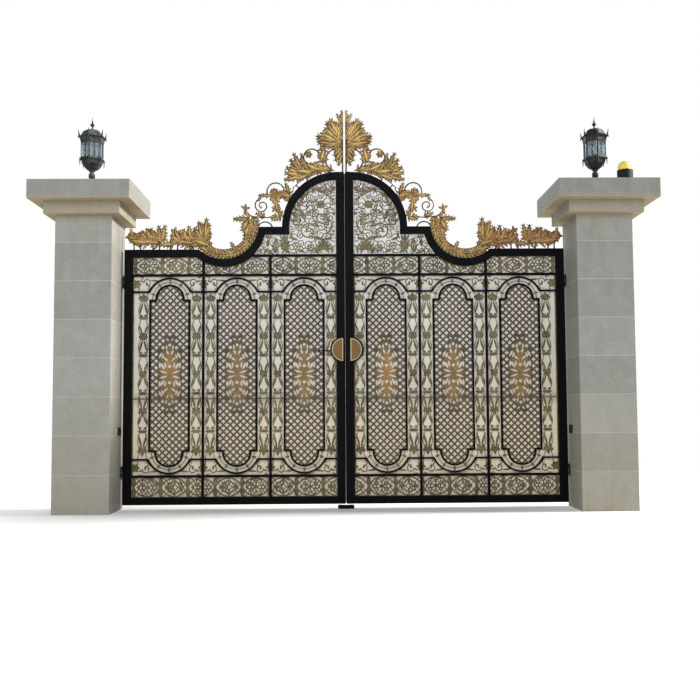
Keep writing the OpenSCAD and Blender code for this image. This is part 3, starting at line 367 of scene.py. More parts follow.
# The left lantern has a little more bloom than the right one.
def bronzeFinish():
    f = Finish("lanternBronze")
    cast = f.noise(90, 5, 0.7)
    patch = f.noise(19, 6, 0.68, distortion=0.8)
    base = f.mix(f.span(cast, 0.52, 0.74, 0.0, 0.7), lantern["bronze"], lantern["wear"])
    aged = f.span(f.axis("X"), gate["midX"] + 1, gate["midX"] - 1, 0.0, 0.14)
    upper = f.span(f.upward(), -0.4, 0.7, 0.35, 0.9)
    bloom = f.times(f.span(f.plus(patch, aged), 0.52, 0.68), upper)
    base = f.mix(f.times(bloom, 0.75), base, lantern["verdigris"])
    metal = f.span(bloom, 0.0, 1.0, 0.35, 0.0)
    rough = f.plus(0.54, f.times(bloom, 0.34))
    return f.set(base=base, metallic=metal, roughness=rough, normal=f.bump(cast, 0.0006), specular=0.3)


def glassFinish():
    f = Finish("seededGlass")
    ripple = f.noise(28, 2, 0.4)
    seeds = f.span(f.cells(150), 0.16, 0.05)
    normal = f.bump(seeds, 0.0005, f.bump(ripple, 0.002))
    rough = f.span(ripple, 0.3, 0.7, 0.05, 0.16)
    return f.set(base=lantern["glass"], transmission=0.82, roughness=rough, ior=1.46, normal=normal)


beacon = {
    "lens": (0.86, 0.63, 0.045), "lensDust": (0.8, 0.7, 0.36), "ribs": 36, "ringsPerMetre": 900.0,
    "body": (0.009, 0.009, 0.01), "bodyDust": (0.05, 0.048, 0.044), "arris": 0.002,
}


def lensFinish():
    f = Finish("amberLens")
    low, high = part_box("beacon_dome")
    middle = (low + high) / 2
    shifted = f.stretched((1, 1, 1), (-middle.x, -middle.y, 0))
    around = f.math("ARCTAN2", f.axis("Y", shifted), f.axis("X", shifted))
    ribs = f.math("SINE", f.times(around, float(beacon["ribs"])))
    rings = f.math("SINE", f.times(f.axis("Z"), beacon["ringsPerMetre"]))
    normal = f.bump(f.plus(f.times(ribs, 0.5), f.times(rings, 0.25)), 0.0012)
    base = f.mix(f.span(f.noise(30, 4), 0.4, 0.8, 0.0, 0.25), beacon["lens"], beacon["lensDust"])
    return f.set(base=base, roughness=0.3, transmission=0.2, coat=0.12, coatRoughness=0.2, normal=normal)


def plasticFinish():
    f = Finish("blackPlastic")
    base = f.mix(f.span(f.noise(12, 4), 0.45, 0.8, 0.0, 0.4), beacon["body"], beacon["bodyDust"])
    return f.set(base=base, roughness=0.68, normal=f.bump(f.noise(480, 2), 0.00015), specular=0.15)


def candleFinish():
    f = Finish("candleSleeve")
    base = f.mix(f.noise(50, 3), lantern["candle"], faded(lantern["candle"], 0.85))
    return f.set(base=base, roughness=0.42, normal=f.bump(f.noise(160, 2), 0.0003))


zinc = {"dark": (0.26, 0.26, 0.255), "light": (0.4, 0.4, 0.39), "rust": (0.1, 0.055, 0.03)}


def zincFinish():
    f = Finish("zincPlated")
    spangle = f.cells(160)
    base = f.mix(f.span(spangle, 0.0, 0.5), zinc["dark"], zinc["light"])
    base = f.mix(f.span(f.noise(34, 5, 0.7), 0.55, 0.75, 0.0, 0.7), base, zinc["rust"])
    return f.set(base=base, metallic=0.85, roughness=f.span(spangle, 0.0, 0.5, 0.42, 0.58))


finishes = {
    "limestone": stoneFinish(),
    "mortar": mortarFinish(),
    "black_paint": paintFinish(),
    "antique_gold": plateFinish(),
    "gold_paint": leafFinish(),
    "wire": wireFinish(),
    "lock": lockFinish(),
    "cream_sheet": sheetFinish(),
    "lantern_bronze": bronzeFinish(),
    "clear_glass": glassFinish(),
    "amber_lens": lensFinish(),
    "black_plastic": plasticFinish(),
    "candle": candleFinish(),
    "zinc": zincFinish(),
}
print("finishes made:", len(finishes))


# CAD nodes: a finish on each, and rounded edges as modifiers

sharpAngle, weldDistance = 35, 0.00001
arrises = {  # Width and segments of the edges of each slot
    "limestone": (stone["slabArris"], 3), "black_paint": (paint["arris"], 2),
    "antique_gold": (plates["arris"], 1), "lantern_bronze": (lantern["arris"], 1),
    "gold_paint": (leafGold["arris"], 2), "black_plastic": (beacon["arris"], 2),
    "clear_glass": (lantern["paneArris"], 1),
}
slots = {row["node"]: row["material_slot"] for row in frame["record"]["subparts"]}
for name, obj in nodes.items():
    slot = slots[name]
    look = finishes["lock" if name.endswith("lock_rosette") else slot]
    if "lattice" in name:
        low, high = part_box(name)
        look = plateFinish(name + "Gold", (low + high) / 2)
    obj.data.materials.clear()
    obj.data.materials.append(look)
    if slot in arrises:
        width, segments = arrises[slot]
        weld = obj.modifiers.new("weld", "WELD")
        weld.merge_threshold = weldDistance
        bevel = obj.modifiers.new("arris", "BEVEL")
        bevel.width = width
        bevel.segments = segments
        bevel.limit_method = "ANGLE"
        bevel.angle_limit = radians(sharpAngle)
        bevel.use_clamp_overlap = True
print("finishes put on the CAD nodes:", len(nodes))


# Mesh tools

def meshObject(name, verts, faces, smoothAngle=None):
    mesh = bpy.data.meshes.new(name)
    mesh.from_pydata(verts, [], faces)
    tidy = bmesh.new()
    tidy.from_mesh(mesh)
    bmesh.ops.recalc_face_normals(tidy, faces=tidy.faces)
    tidy.to_mesh(mesh)
    tidy.free()
    if smoothAngle is not None:
        mesh.shade_smooth()
        mesh.set_sharp_from_angle(angle=radians(smoothAngle))
    obj = bpy.data.objects.new(name, mesh)
    bpy.context.scene.collection.objects.link(obj)
    return obj


def ringFaces(rings, around):
    faces = []
    for i in range(rings - 1):
        for k in range(around):
            a, b = i * around + k, i * around + (k + 1) % around
            faces.append((a, b, b + around, a + around))
    return faces


# A closed rod along points (u, z), with the section given as (outward, depth) pairs
def sweep(points, section):
    last, around = len(points) - 1, len(section)
    verts = []
    for i, (u, z) in enumerate(points):
        before, after = points[max(i - 1, 0)], points[min(i + 1, last)]
        du, dz = after[0] - before[0], after[1] - before[1]
        size = hypot(du, dz) or 1.0
        verts += [(u - dz / size * out, y, z + du / size * out) for out, y in section]
    faces = ringFaces(last + 1, around)
    faces.append(tuple(range(around)))
    faces.append(tuple(reversed(range(last * around, len(verts)))))
    return verts, faces


def bevelledBox(name, low, high, width):
    verts = [(x, y, z) for x in (low[0], high[0]) for y in (low[1], high[1]) for z in (low[2], high[2])]
    faces = [(0, 1, 3, 2), (4, 6, 7, 5), (0, 4, 5, 1), (2, 3, 7, 6), (0, 2, 6, 4), (1, 5, 7, 3)]
    obj = meshObject(name, verts, faces)
    if width > 0:
        solid = bmesh.new()
        solid.from_mesh(obj.data)
        bmesh.ops.bevel(
            solid, geom=solid.edges[:], offset=width, segments=2, profile=0.5, affect="EDGES")
        bmesh.ops.recalc_face_normals(solid, faces=solid.faces)
        solid.to_mesh(obj.data)
        solid.free()
    return obj


def nodeGroup(name, wanted):
    tree = bpy.data.node_groups.new(name, "GeometryNodeTree")
    tree.is_modifier = True
    tree.interface.new_socket(name="Geometry", in_out="INPUT", socket_type="NodeSocketGeometry")
    tree.interface.new_socket(name="Geometry", in_out="OUTPUT", socket_type="NodeSocketGeometry")
    for label, kind in wanted:
        tree.interface.new_socket(name=label, in_out="INPUT", socket_type=kind)
    return tree, put(tree, "NodeGroupInput").outputs


def runNodes(obj, tree, values):
    modifier = obj.modifiers.new("nodes", "NODES")
    modifier.node_group = tree
    for item in tree.interface.items_tree:
        if item.in_out == "INPUT" and item.name in values:
            modifier[item.identifier] = values[item.name]
    depsgraph = bpy.context.evaluated_depsgraph_get()
    mesh = bpy.data.meshes.new_from_object(
        obj.evaluated_get(depsgraph), preserve_all_data_layers=True, depsgraph=depsgraph)
    obj.modifiers.clear()
    obj.data = mesh


# Piers: one stone block a course on a mortar core

def courseNodes():
    tree, given = nodeGroup("stoneCourses", [
        ("Block", "NodeSocketObject"), ("Courses", "NodeSocketInt"), ("Foot", "NodeSocketVector"),
        ("Pitch", "NodeSocketFloat"), ("Last Share", "NodeSocketFloat"), ("Seed", "NodeSocketInt"),
        ("Stone", "NodeSocketMaterial"), ("Mortar", "NodeSocketMaterial")])
    rise = put(tree, "ShaderNodeCombineXYZ", {2: given["Pitch"]}).outputs[0]
    line = put(tree, "GeometryNodeMeshLine", {
        "Count": given["Courses"], "Start Location": given["Foot"], "Offset": rise}, mode="OFFSET")
    block = put(tree, "GeometryNodeObjectInfo", {"Object": given["Block"]}).outputs["Geometry"]
    # The last stone of a pier is cut to what is left of its height
    index = put(tree, "GeometryNodeInputIndex").outputs[0]
    lastIndex = put(tree, "ShaderNodeMath", {0: given["Courses"], 1: 1.0}, operation="SUBTRACT").outputs[0]
    isLast = put(tree, "ShaderNodeMath", {0: index, 1: lastIndex, 2: 0.1}, operation="COMPARE").outputs[0]
    share = put(tree, "ShaderNodeMapRange", {
        "Value": isLast, "To Min": 1.0, "To Max": given["Last Share"]}).outputs[0]
    scale = put(tree, "ShaderNodeCombineXYZ", {0: 1.0, 1: 1.0, 2: share}).outputs[0]
    stones = put(tree, "GeometryNodeInstanceOnPoints", {
        "Points": line.outputs["Mesh"], "Instance": block, "Scale": scale}).outputs[0]
    picked = put(tree, "FunctionNodeRandomValue", {"ID": index, "Seed": given["Seed"]}, data_type="FLOAT")
    value = next(socket for socket in picked.outputs if socket.type == "VALUE")
    toned = put(tree, "GeometryNodeStoreNamedAttribute", {
        "Geometry": stones, "Name": "stoneTone", "Value": value}, data_type="FLOAT", domain="INSTANCE")
    solid = put(tree, "GeometryNodeRealizeInstances", {0: toned.outputs[0]}).outputs[0]
    faced = put(tree, "GeometryNodeSetMaterial", {"Geometry": solid, "Material": given["Stone"]})
    core = put(tree, "GeometryNodeSetMaterial", {
        "Geometry": given["Geometry"], "Material": given["Mortar"]})
    joined = put(tree, "GeometryNodeJoinGeometry")
    tree.links.new(core.outputs[0], joined.inputs[0])
    tree.links.new(faced.outputs[0], joined.inputs[0])
    put(tree, "NodeGroupOutput", {0: joined.outputs[0]})
    return tree


courses = courseNodes()
for number, side in enumerate(ways):
    low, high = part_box(side + "_pier")
    half = (high.x - low.x) / 2
    middle = (low + high) / 2
    pitch, gap, inset = stone["pitch"], stone["jointWidth"] / 2, stone["jointDepth"]
    block = bevelledBox("courseBlock", (-half, -half, gap), (half, half, pitch - gap), stone["arris"])
    coreLow, coreHigh = (low.x + inset, low.y + inset, low.z), (high.x - inset, high.y - inset, high.z)
    core = bevelledBox(side + "PierStones", coreLow, coreHigh, 0)
    count = ceil(high.z / pitch)
    lastShare = (high.z - (count - 1) * pitch) / pitch
    runNodes(core, courses, {
        "Block": block, "Courses": count, "Foot": (middle.x, middle.y, low.z), "Pitch": pitch,
        "Last Share": lastShare, "Seed": 3 + number,
        "Stone": finishes["limestone"], "Mortar": finishes["mortar"]})
    bpy.data.objects.remove(block)
    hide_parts(side + "_pier")
    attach(core, "posts")
    print("pier clad:", side, count, "courses")


# Crest: domed leaves, round scrolls and flowers at the places of the CAD outline

# u runs from the middle of the gate to the pier, and z up. The arcs of the head rail are sweep and dip.
crest = {
    "sweepU": 0.06, "stepZ": 2.329, "sweepR": 0.462,
    "dipU": 1.008, "dipZ": 2.352, "dipR": 0.292,
    "levelU": 1.168, "levelZ": 2.14, "footHeight": 0.06, "innerEdge": 0.008,
    "bigLeaf": 0.06, "bigMesh": (12, 6), "smallMesh": (6, 4),  # steps along and across a leaf
    "lobePitch": 0.034, "lobeDepth": 0.14, "lobeShare": 0.5, "lobeReach": 1.42,
    "domeHeight": 0.0085, "plate": 0.0012, "layerStep": 0.0011, "curl": 0.006,
    "ribShare": 0.28, "ribWidth": 0.2, "veinDepth": 0.14,
    "barDepth": 0.007, "barSides": 10,
    "stem": {"foot": -0.004, "height": 0.424, "out": 0.015, "width": 0.014, "steps": 24},
    "studs": {"ends": (-0.004, 0.016, 0.036), "width": 0.012, "turns": (46, 58, 70)},
    "railArc": (72, -30, 0.008), "garlandInset": 0.042, "garland": (164, 138, 0.026, 21, 0.066, 0.03),
    "posts": {
        "shares": (0.13, 0.33, 0.42, 0.56, 0.64, 0.8, 0.88),
        "width": 0.013, "sink": 0.004, "height": 0.08},
    "fillLeaves": (0.034, 0.058), "fillShare": 0.42, "fillSpace": 0.023, "fillBuds": 0.2,
    "seed": 5,
}


# Gathers leaves, rods and flowers into one mesh. Inside "with at()" they go to that place and turn.
class Relief:
    def __init__(self, seed):
        self.verts, self.faces = [], []
        self.relief, self.bud, self.tone = [], [], []
        self.random = random.Random(seed)
        self.count = 0
        self.stack = [(0.0, 0.0, 0.0)]

    def add(self, verts, faces, relief, bud=0.0):
        start = len(self.verts)
        tone = self.random.random()
        u0, z0, turn = self.stack[-1]
        c, s = cos(radians(turn)), sin(radians(turn))
        for (u, y, z), level in zip(verts, relief):
            self.verts.append((u0 + u * c - z * s, y, z0 + u * s + z * c))
            self.relief.append(level)
            self.bud.append(bud)
            self.tone.append(tone)
        self.faces += [tuple(start + i for i in face) for face in faces]
        self.count += 1

    def at(self, u, z, turn=0.0):
        u0, z0, base = self.stack[-1]
        c, s = cos(radians(base)), sin(radians(base))
        self.stack.append((u0 + u * c - z * s, z0 + u * s + z * c, base + turn))
        return self

    def __enter__(self):
        return self

    def __exit__(self, *rest):
        self.stack.pop()

    # A leaf of two arcs along u, domed in front and flatter at the back, with a rib. A big one has lobes
    # along its edges and side veins too.
    def leaf(self, length, width, bud=0.0, rise=1.0):
        big = length > crest["bigLeaf"]
        along, across = crest["bigMesh"] if big else crest["smallMesh"]
        radius = (length * length + width * width) / (4 * width)
        lobes = max(2, round(length / crest["lobePitch"]))
        dome = min(crest["domeHeight"], 0.22 * width + 0.001) * rise
        layer = ((self.count * 7) % 5 - 2) * crest["layerStep"]
        plate, ribShare = crest["plate"], crest["ribShare"]
        verts, relief, rows = [], [], []
        for i in range(along + 1):
            t = i / along
            half = sqrt(max(radius ** 2 - (length * (t - 0.5)) ** 2, 0.0)) - (radius - width / 2)
            if big:
                half *= 1 - crest["lobeDepth"] + crest["lobeDepth"] * abs(cos(pi * lobes * t))
            curl = crest["curl"] * t ** 3 if big else 0.0
            envelope = sin(pi * (0.03 + 0.94 * t)) ** 0.55
            if i in (0, along):
                rows.append(([len(verts)], [len(verts)]))
                verts.append((length * t, layer - curl, 0.0))
                relief.append(0.25)
                continue
            front, back = [], []
            for j in range(across + 1):
                s = 2 * j / across - 1
                vein = 0.0
                if big:
                    vein = crest["veinDepth"] * cos(2 * pi * (lobes * t - 0.9 * abs(s)))
                    vein *= 4 * abs(s) * (1 - abs(s))
                rib = exp(-(s / crest["ribWidth"]) ** 2)
                level = envelope * ((1 - ribShare) * (1 - s * s) ** 0.8 + ribShare * rib + vein)
                front.append(len(verts))
                inside = abs(s) < 0.99
                lift = plate + dome * level if inside else 0.0
                verts.append((length * t, layer - curl - lift, half * s))
                # Painted light per point: painted highlight on the dome and rib, painted shade at the rim
                # and, lower still, on the back
                relief.append(max(0.0, min(1.0, 0.12 + 0.88 * level)) if inside else 0.08)
                if inside:
                    back.append(len(verts))
                    verts.append((length * t, layer - curl + plate + 0.5 * dome * level, half * s))
                    relief.append(0.1 + 0.6 * level)
            rows.append((front, [front[0]] + back + [front[-1]]))
        faces = []
        for (frontA, backA), (frontB, backB) in zip(rows, rows[1:]):
            for a, b, flip in ((frontA, frontB, False), (backA, backB, True)):
                if len(a) == 1:
                    made = [(a[0], b[j], b[j + 1]) for j in range(len(b) - 1)]
                elif len(b) == 1:
                    made = [(a[j + 1], a[j], b[0]) for j in range(len(a) - 1)]
                else:
                    made = [(a[j + 1], a[j], b[j], b[j + 1]) for j in range(len(a) - 1)]
                faces += [tuple(reversed(face)) if flip else face for face in made]
        self.add(verts, faces, relief, bud)

    # A leaf with pairs of lobes, longest at its root
    def acanthus(self, length, width):
        self.leaf(length, width)
        if length < crest["bigLeaf"]:
            return
        pairs = 2 + round(length / crest["bigLeaf"])
        for i in range(pairs):
            t = 0.1 + 0.72 * i / (pairs - 1)
            reach = (0.5 * width + 0.1 * length * (1 - t)) * (1.12 - 0.35 * t)
            for way in (1, -1):
                with self.at(length * t, way * width * 0.08, way * (62 - 30 * t)):
                    self.leaf(reach * crest["lobeReach"], reach * crest["lobeShare"])

    def bar(self, points, width):
        turns = [2 * pi * k / crest["barSides"] for k in range(crest["barSides"])]
        section = [(cos(a) * width / 2, -sin(a) * crest["barDepth"]) for a in turns]
        verts, faces = sweep(points, section)
        # Painted light along the rod: painted highlight on the side that faces front, painted shade behind
        self.add(verts, faces, [0.5 + 0.38 * sin(a) for a in turns] * len(points), -1.0)

    def arc(self, r, start, turn, width):
        steps = max(4, int(abs(turn) / 7))
        angles = [radians(start + turn * i / steps) for i in range(steps + 1)]
        self.bar([(r * cos(a), r * sin(a)) for a in angles], width)

    # Nearly one and a half turns inwards, ending in a knob; way is 1 or -1
    def scroll(self, r, start, way, width):
        points = []
        for a in range(0, 511, 12):
            angle = radians(start + way * a)
            radius = r - r * 0.84 * a / 560
            points.append((radius * cos(angle), radius * sin(angle)))
        self.bar(points, width)
        with self.at(*points[-1]):
            self.dome(width * 0.95, 0.008)

    def dome(self, r, height, bud=0.0):
        rings, around = 5, 14
        turns = [2 * pi * k / around for k in range(around)]
        verts, relief = [], []
        for i in range(rings + 1):
            rise = pi / 2 * i / rings
            reach = r * cos(rise) if i < rings else 0.06 * r
            verts += [(reach * cos(a), -height * sin(rise), reach * sin(a)) for a in turns]
            # Painted light: painted highlight towards the front tip of the dome, painted shade at its rim
            # and back
            relief += [0.25 + 0.7 * sin(rise)] * around
        faces = ringFaces(rings + 1, around)
        back = len(verts)
        faces.append(tuple(range(back - around, back)))
        verts += [(0.9 * r * cos(a), 0.45 * height, 0.9 * r * sin(a)) for a in turns]
        relief += [0.3] * around
        faces += [((k + 1) % around, k, back + k, back + (k + 1) % around) for k in range(around)]
        faces.append(tuple(reversed(range(back, back + around))))
        self.add(verts, faces, relief, bud)

    def flower(self, r, petals):
        for i in range(petals):
            with self.at(0, 0, i * 360 / petals):
                self.leaf(r, r * 0.62, 0.7, 1.3)
        self.dome(r * 0.34, 0.013, 0.7)

    def star(self, r):
        for turn in (40, 98, 160, 280):
            with self.at(0, 0, turn):
                self.leaf(r, r * 0.46, 0.4)
        self.dome(r * 0.32, 0.012, 1.0)

    def leafyArc(self, r, start, turn, width, groups, length, leafWidth):
        self.arc(r, start, turn, width)
        fan = ((46, 1.05), (22, 0.8), (-22, 0.8), (-46, 1.05))
        places = [(start + turn * (i + 0.3) / groups, fan) for i in range(groups)]
        for angle, leaves in places + [(start + turn, ((0, 1),))]:
            a = radians(angle)
            with self.at(r * cos(a), r * sin(a), angle + copysign(90, turn)):
                for spread, share in leaves:
                    with self.at(0, 0, spread):
                        self.leaf(length * share, leafWidth)


# Leaves as (u, z, turn, length, width) in millimetres and degrees, from each group's own origin.
plumeLeaves = [
    (12, 402, 87, 140, 32), (12, 420, 58, 102, 28), (12, 290, 66, 168, 40), (12, 268, 60, 232, 56),
    (14, 258, 51, 234, 52), (14, 250, 41, 214, 48), (14, 244, 28, 212, 54), (14, 240, 18, 244, 58),
    (14, 236, 7, 228, 54), (20, 246, -7, 190, 42), (12, 230, -50, 122, 44), (12, 200, -58, 128, 42),
    (12, 168, -70, 122, 34)]
shoulderLeaves = [
    (165, 216, -76, 140, 54), (90, 18, 14, 160, 40), (190, 14, 24, 150, 56), (215, 92, -6, 48, 18),
    (250, 6, 4, 170, 58), (330, 10, 78, 170, 30), (342, 6, 62, 196, 40), (350, 6, 45, 160, 42),
    (360, -8, 22, 146, 48), (366, -16, 6, 142, 46), (366, -28, -14, 150, 44), (300, -14, -22, 120, 40)]
stepLeaves = [
    (392, 250, 26, 96, 36), (376, 236, 42, 118, 38), (398, 268, 72, 116, 36), (446, 268, 14, 74, 26),
    (530, 268, 2, 132, 32), (636, 278, -68, 66, 24), (520, 280, -98, 172, 34), (462, 84, -12, 96, 34),
    (500, 104, -20, 66, 28), (600, 92, 18, 90, 34)]
wreathLeaves = [
    (-222, 52, -2, 152, 40), (-214, 54, 62, 70, 26), (-208, 50, -62, 124, 50), (-216, 30, -76, 170, 52),
    (-106, -236, 62, 106, 32), (132, -224, 113, 86, 30), (112, -222, 20, 110, 40)]
peakLeaves = [
    (0, 0, 95, 222, 44), (8, 10, 110, 168, 38), (14, 0, 130, 116, 38), (16, 0, 80, 196, 40),
    (10, 0, 60, 160, 44), (-56, -30, 20, 170, 56), (20, 0, -16, 120, 40)]
lowLeaves = [
    (-50, -10, 10, 220, 66), (-4, 0, 82, 152, 40), (22, 0, 70, 130, 44), (76, 0, 62, 132, 42),
    (80, 0, 40, 116, 40), (130, -8, -4, 130, 42)]
twinLeaves = [
    (0, 0, 102, 162, 40), (8, 0, 84, 156, 40), (14, 14, 126, 94, 38), (34, 6, 64, 138, 42),
    (80, 14, 68, 124, 38), (110, 10, 54, 112, 46), (230, 4, 78, 126, 34), (204, 24, 28, 90, 42),
    (4, -4, 10, 170, 56), (94, 0, 8, 176, 56), (150, -2, 16, 116, 44)]


# Scrollwork in mm and degrees from the same origins. An arc is (kind, u, z, radius, start, turn, width)
# and a scroll the same with its way for turn, 1 or -1. A flower is (kind, u, z, radius, petals) and a
# star is (kind, u, z, radius).
plumeForms = [
    ("arc", 62, 108, 94, 74, -150, 13), ("arc", 272, 134, 68, 150, -300, 13), ("flower", 300, 156, 36, 6)]
stepForms = [
    ("arc", 392, 322, 24, 60, -280, 9), ("arc", 516, 304, 72, 172, -196, 12), ("flower", 528, 296, 42, 8),
    ("scroll", 630, 182, 64, 80, -1, 11), ("arc", 610, 472, 390, 258, 24, 10),
    ("arc", 685, 172, 82, 268, 74, 9), ("star", 770, 154, 48), ("arc", 604, -18, 64, 12, 156, 12)]
peakForms = [("flower", 24, 130, 36, 6)]
lowForms = [("flower", 74, 60, 38, 8)]
twinForms = [("flower", 74, 80, 34, 8), ("flower", 165, 60, 38, 6)]


def growLeaves(piece, leaves):
    for u, z, turn, length, width in leaves:
        with piece.at(u / 1000, z / 1000, turn):
            piece.acanthus(length / 1000, width / 1000)


def growForms(piece, forms):
    for kind, u, z, r, *rest in forms:
        with piece.at(u / 1000, z / 1000):
            if kind == "flower":
                piece.flower(r / 1000, *rest)
            elif kind == "star":
                piece.star(r / 1000)
            else:
                start, turn, width = rest
                draw = piece.arc if kind == "arc" else piece.scroll
                draw(r / 1000, start, turn, width / 1000)


# Beds of small leaves that close the crest between its larger leaves: (u, z) from, (u, z) to, half width
def crestBeds(run):
    u, z = crest["levelU"], crest["levelZ"] + crest["footHeight"]
    top = gate["stileTop"]
    return [
        ((u - 0.02, z + 0.03), (u + run * 0.42, z + 0.05), 0.04),
        ((u + run * 0.56, z + 0.05), (u + run * 0.95, z + 0.06), 0.045),
        ((u, z + 0.08), (u + 0.03, z + 0.14), 0.03),
        ((0.05, top + 0.25), (0.19, top + 0.29), 0.05), ((0.03, top + 0.2), (0.05, top + 0.4), 0.02),
        ((0.15, top + 0.03), (0.42, top + 0.02), 0.036), ((0.2, top + 0.16), (0.17, top + 0.1), 0.02),
        ((0.44, top - 0.22), (0.6, top - 0.19), 0.026), ((0.58, top - 0.2), (0.55, top - 0.36), 0.016),
        ((0.76, top - 0.4), (0.79, top - 0.52), 0.026)]


def fillBed(piece, start, end, spread):
    picks = piece.random
    du, dz = end[0] - start[0], end[1] - start[1]
    length = hypot(du, dz)
    for i in range(int(length * 2 * spread / crest["fillSpace"] ** 2) + 3):
        share, off = picks.random(), picks.uniform(-spread, spread)
        u = start[0] + du * share - dz / length * off
        z = start[1] + dz * share + du / length * off
        size = picks.uniform(*crest["fillLeaves"])
        with piece.at(u, z, picks.uniform(0, 360)):
            bud = 0.8 if picks.random() < crest["fillBuds"] else 0.0
            for turn in (0, 52, -52):
                with piece.at(0, 0, turn):
                    piece.leaf(size * (1 if turn == 0 else 0.72), size * crest["fillShare"], bud)


def growCrest(side):
    piece = Relief(crest["seed"])
    stem, studs, posts = crest["stem"], crest["studs"], crest["posts"]
    with piece.at(0, gate["stileTop"]):
        heights = [stem["foot"] + stem["height"] * i / stem["steps"] for i in range(stem["steps"] + 1)]
        piece.bar([(stem["out"], z) for z in heights], stem["width"])
        growLeaves(piece, plumeLeaves)
        growForms(piece, plumeForms)
        growLeaves(piece, shoulderLeaves)
    with piece.at(crest["sweepU"], crest["stepZ"]):
        r = crest["sweepR"]
        piece.arc(r + studs["ends"][-1], *crest["railArc"])
        for turn in studs["turns"]:
            with piece.at(0, 0, turn):
                piece.bar([(r + u, 0) for u in studs["ends"]], studs["width"])
        growForms(piece, stepForms)
        growLeaves(piece, stepLeaves)
    with piece.at(crest["dipU"], crest["dipZ"]):
        piece.leafyArc(crest["dipR"] - crest["garlandInset"], *crest["garland"])
        growLeaves(piece, wreathLeaves)
    run = gate["leafEnd"] - gate["midX"] - crest["levelU"]
    base = crest["levelZ"] + crest["footHeight"]
    for share, leaves, forms in (
            (0, peakLeaves, peakForms), (0.175, lowLeaves, lowForms), (0.545, twinLeaves, twinForms)):
        with piece.at(crest["levelU"] + run * share, base):
            growLeaves(piece, leaves)
            growForms(piece, forms)
    for start, end, spread in crestBeds(run):
        fillBed(piece, start, end, spread)
    foot, half = crest["levelZ"] - posts["sink"], posts["height"] / 2
    for share in posts["shares"]:
        u = crest["levelU"] + run * share + posts["width"] / 2
        piece.bar([(u, foot), (u, foot + half), (u, foot + 2 * half)], posts["width"])
    way, edge = ways[side], crest["innerEdge"]
    verts = [(gate["midX"] + way * max(u, edge), gate["leafY"] + y, z) for u, y, z in piece.verts]
    obj = meshObject(side + "CrestRelief", verts, piece.faces, 55)
    for label, values in (("relief", piece.relief), ("bud", piece.bud), ("leafTone", piece.tone)):
        layer = obj.data.attributes.new(label, "FLOAT", "POINT")
        layer.data.foreach_set("value", values)
    obj.data.materials.append(finishes["gold_paint"])
    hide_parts(side + "_crest")
    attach(obj, side + "_leaf")
    return obj


for side in ways:
    made = growCrest(side)
    print("crest grown:", side, len(made.data.polygons), "faces")


# Fine scrollwork between the larger motifs of the plates

wires = {
    "width": 0.0048, "depth": 0.0042, "behind": 0.0033, "edge": 0.003, "dipEdge": 0.03,
    "friezes": ((0.1, 0.26), (1.937, 2.08)), "friezePitch": 0.111, "friezeWidth": 0.0056,
    "waves": ((0.92, 2, 0.0), (0.92, 2, 0.5), (0.5, 1, 0.25), (0.5, 1, 0.75)),
    "tendrilPitch": 0.155, "tendrilOut": 0.031, "tendrilSwing": 0.0085, "tendrilEnd": 0.02,
    "budOut": 0.017, "budRise": 0.03, "budRadius": 0.0105, "budWidth": 0.004,
    "corners": ((0.27, 0.112, 0.017, 90, 1), (0.43, 0.075, 0.015, 200, -1), (0.17, 0.142, 0.013, 20, 1)),
    "headLow": 2.104, "headEdge": 0.064, "headSide": 0.006,
    "curls": 64, "tries": 4000, "curlSizes": (0.02, 0.044), "curlSpace": 0.047, "curlWidth": 0.0054,
    "seed": 11,
}


# Gathers thin rods into one mesh, and leaves out the parts that keep(u, z) doesn't allow.
class Wires:
    def __init__(self, keep):
        self.verts, self.faces = [], []
        self.keep = keep

    def run(self, points, width=wires["width"]):
        part = []
        for point in [*points, None]:
            if point is not None and self.keep(*point):
                part.append(point)
                continue
            if len(part) > 2:
                self.strip(part, width / 2)
            part = []

    def strip(self, points, half):
        depth = wires["depth"] / 2
        section = [(half, depth), (half, -0.4 * depth), (0.45 * half, -depth)]
        section += [(-out, y) for out, y in reversed(section)]
        verts, faces = sweep(points, section)
        start = len(self.verts)
        self.verts += verts
        self.faces += [tuple(start + i for i in face) for face in faces]

    def curl(self, u, z, r, start, way, width=wires["width"]):
        points = []
        for a in range(-70, 481, 14):
            angle = radians(start + way * a)
            radius = r * (1 - 0.8 * a / 480 if a > 0 else 1 - a / 110)
            points.append((u + radius * cos(angle), z + radius * sin(angle)))
        self.run(points, width)


def wave(u0, u1, middle, height, pitch, shift):
    count = max(4, int((u1 - u0) / 0.009))
    for i in range(count + 1):
        u = u0 + (u1 - u0) * i / count
        yield u, middle + height * sin(2 * pi * (u / pitch + shift))


# Two waving stems up a border strip, with small curls between them
def growTendrils(made, u, bottom, top):
    middle, pitch, count = (bottom + top) / 2, wires["tendrilPitch"], 150
    low, high = bottom + wires["tendrilEnd"], top - wires["tendrilEnd"]
    for swing in (-1, 1):
        points = []
        for i in range(count):
            z = low + (high - low) * i / (count - 1)
            turn = 2 * pi * (z - middle) / pitch
            points.append((u + swing * (wires["tendrilOut"] - wires["tendrilSwing"] * cos(turn)), z))
        made.run(points)
    steps = int((top - bottom) / pitch)
    for i in range(steps):
        z = middle + (i - (steps - 1) / 2) * pitch + wires["budRise"]
        for swing in (-1, 1):
            out = u + swing * wires["budOut"]
            made.curl(out, z, wires["budRadius"], 90 - swing * 90, swing, wires["budWidth"])


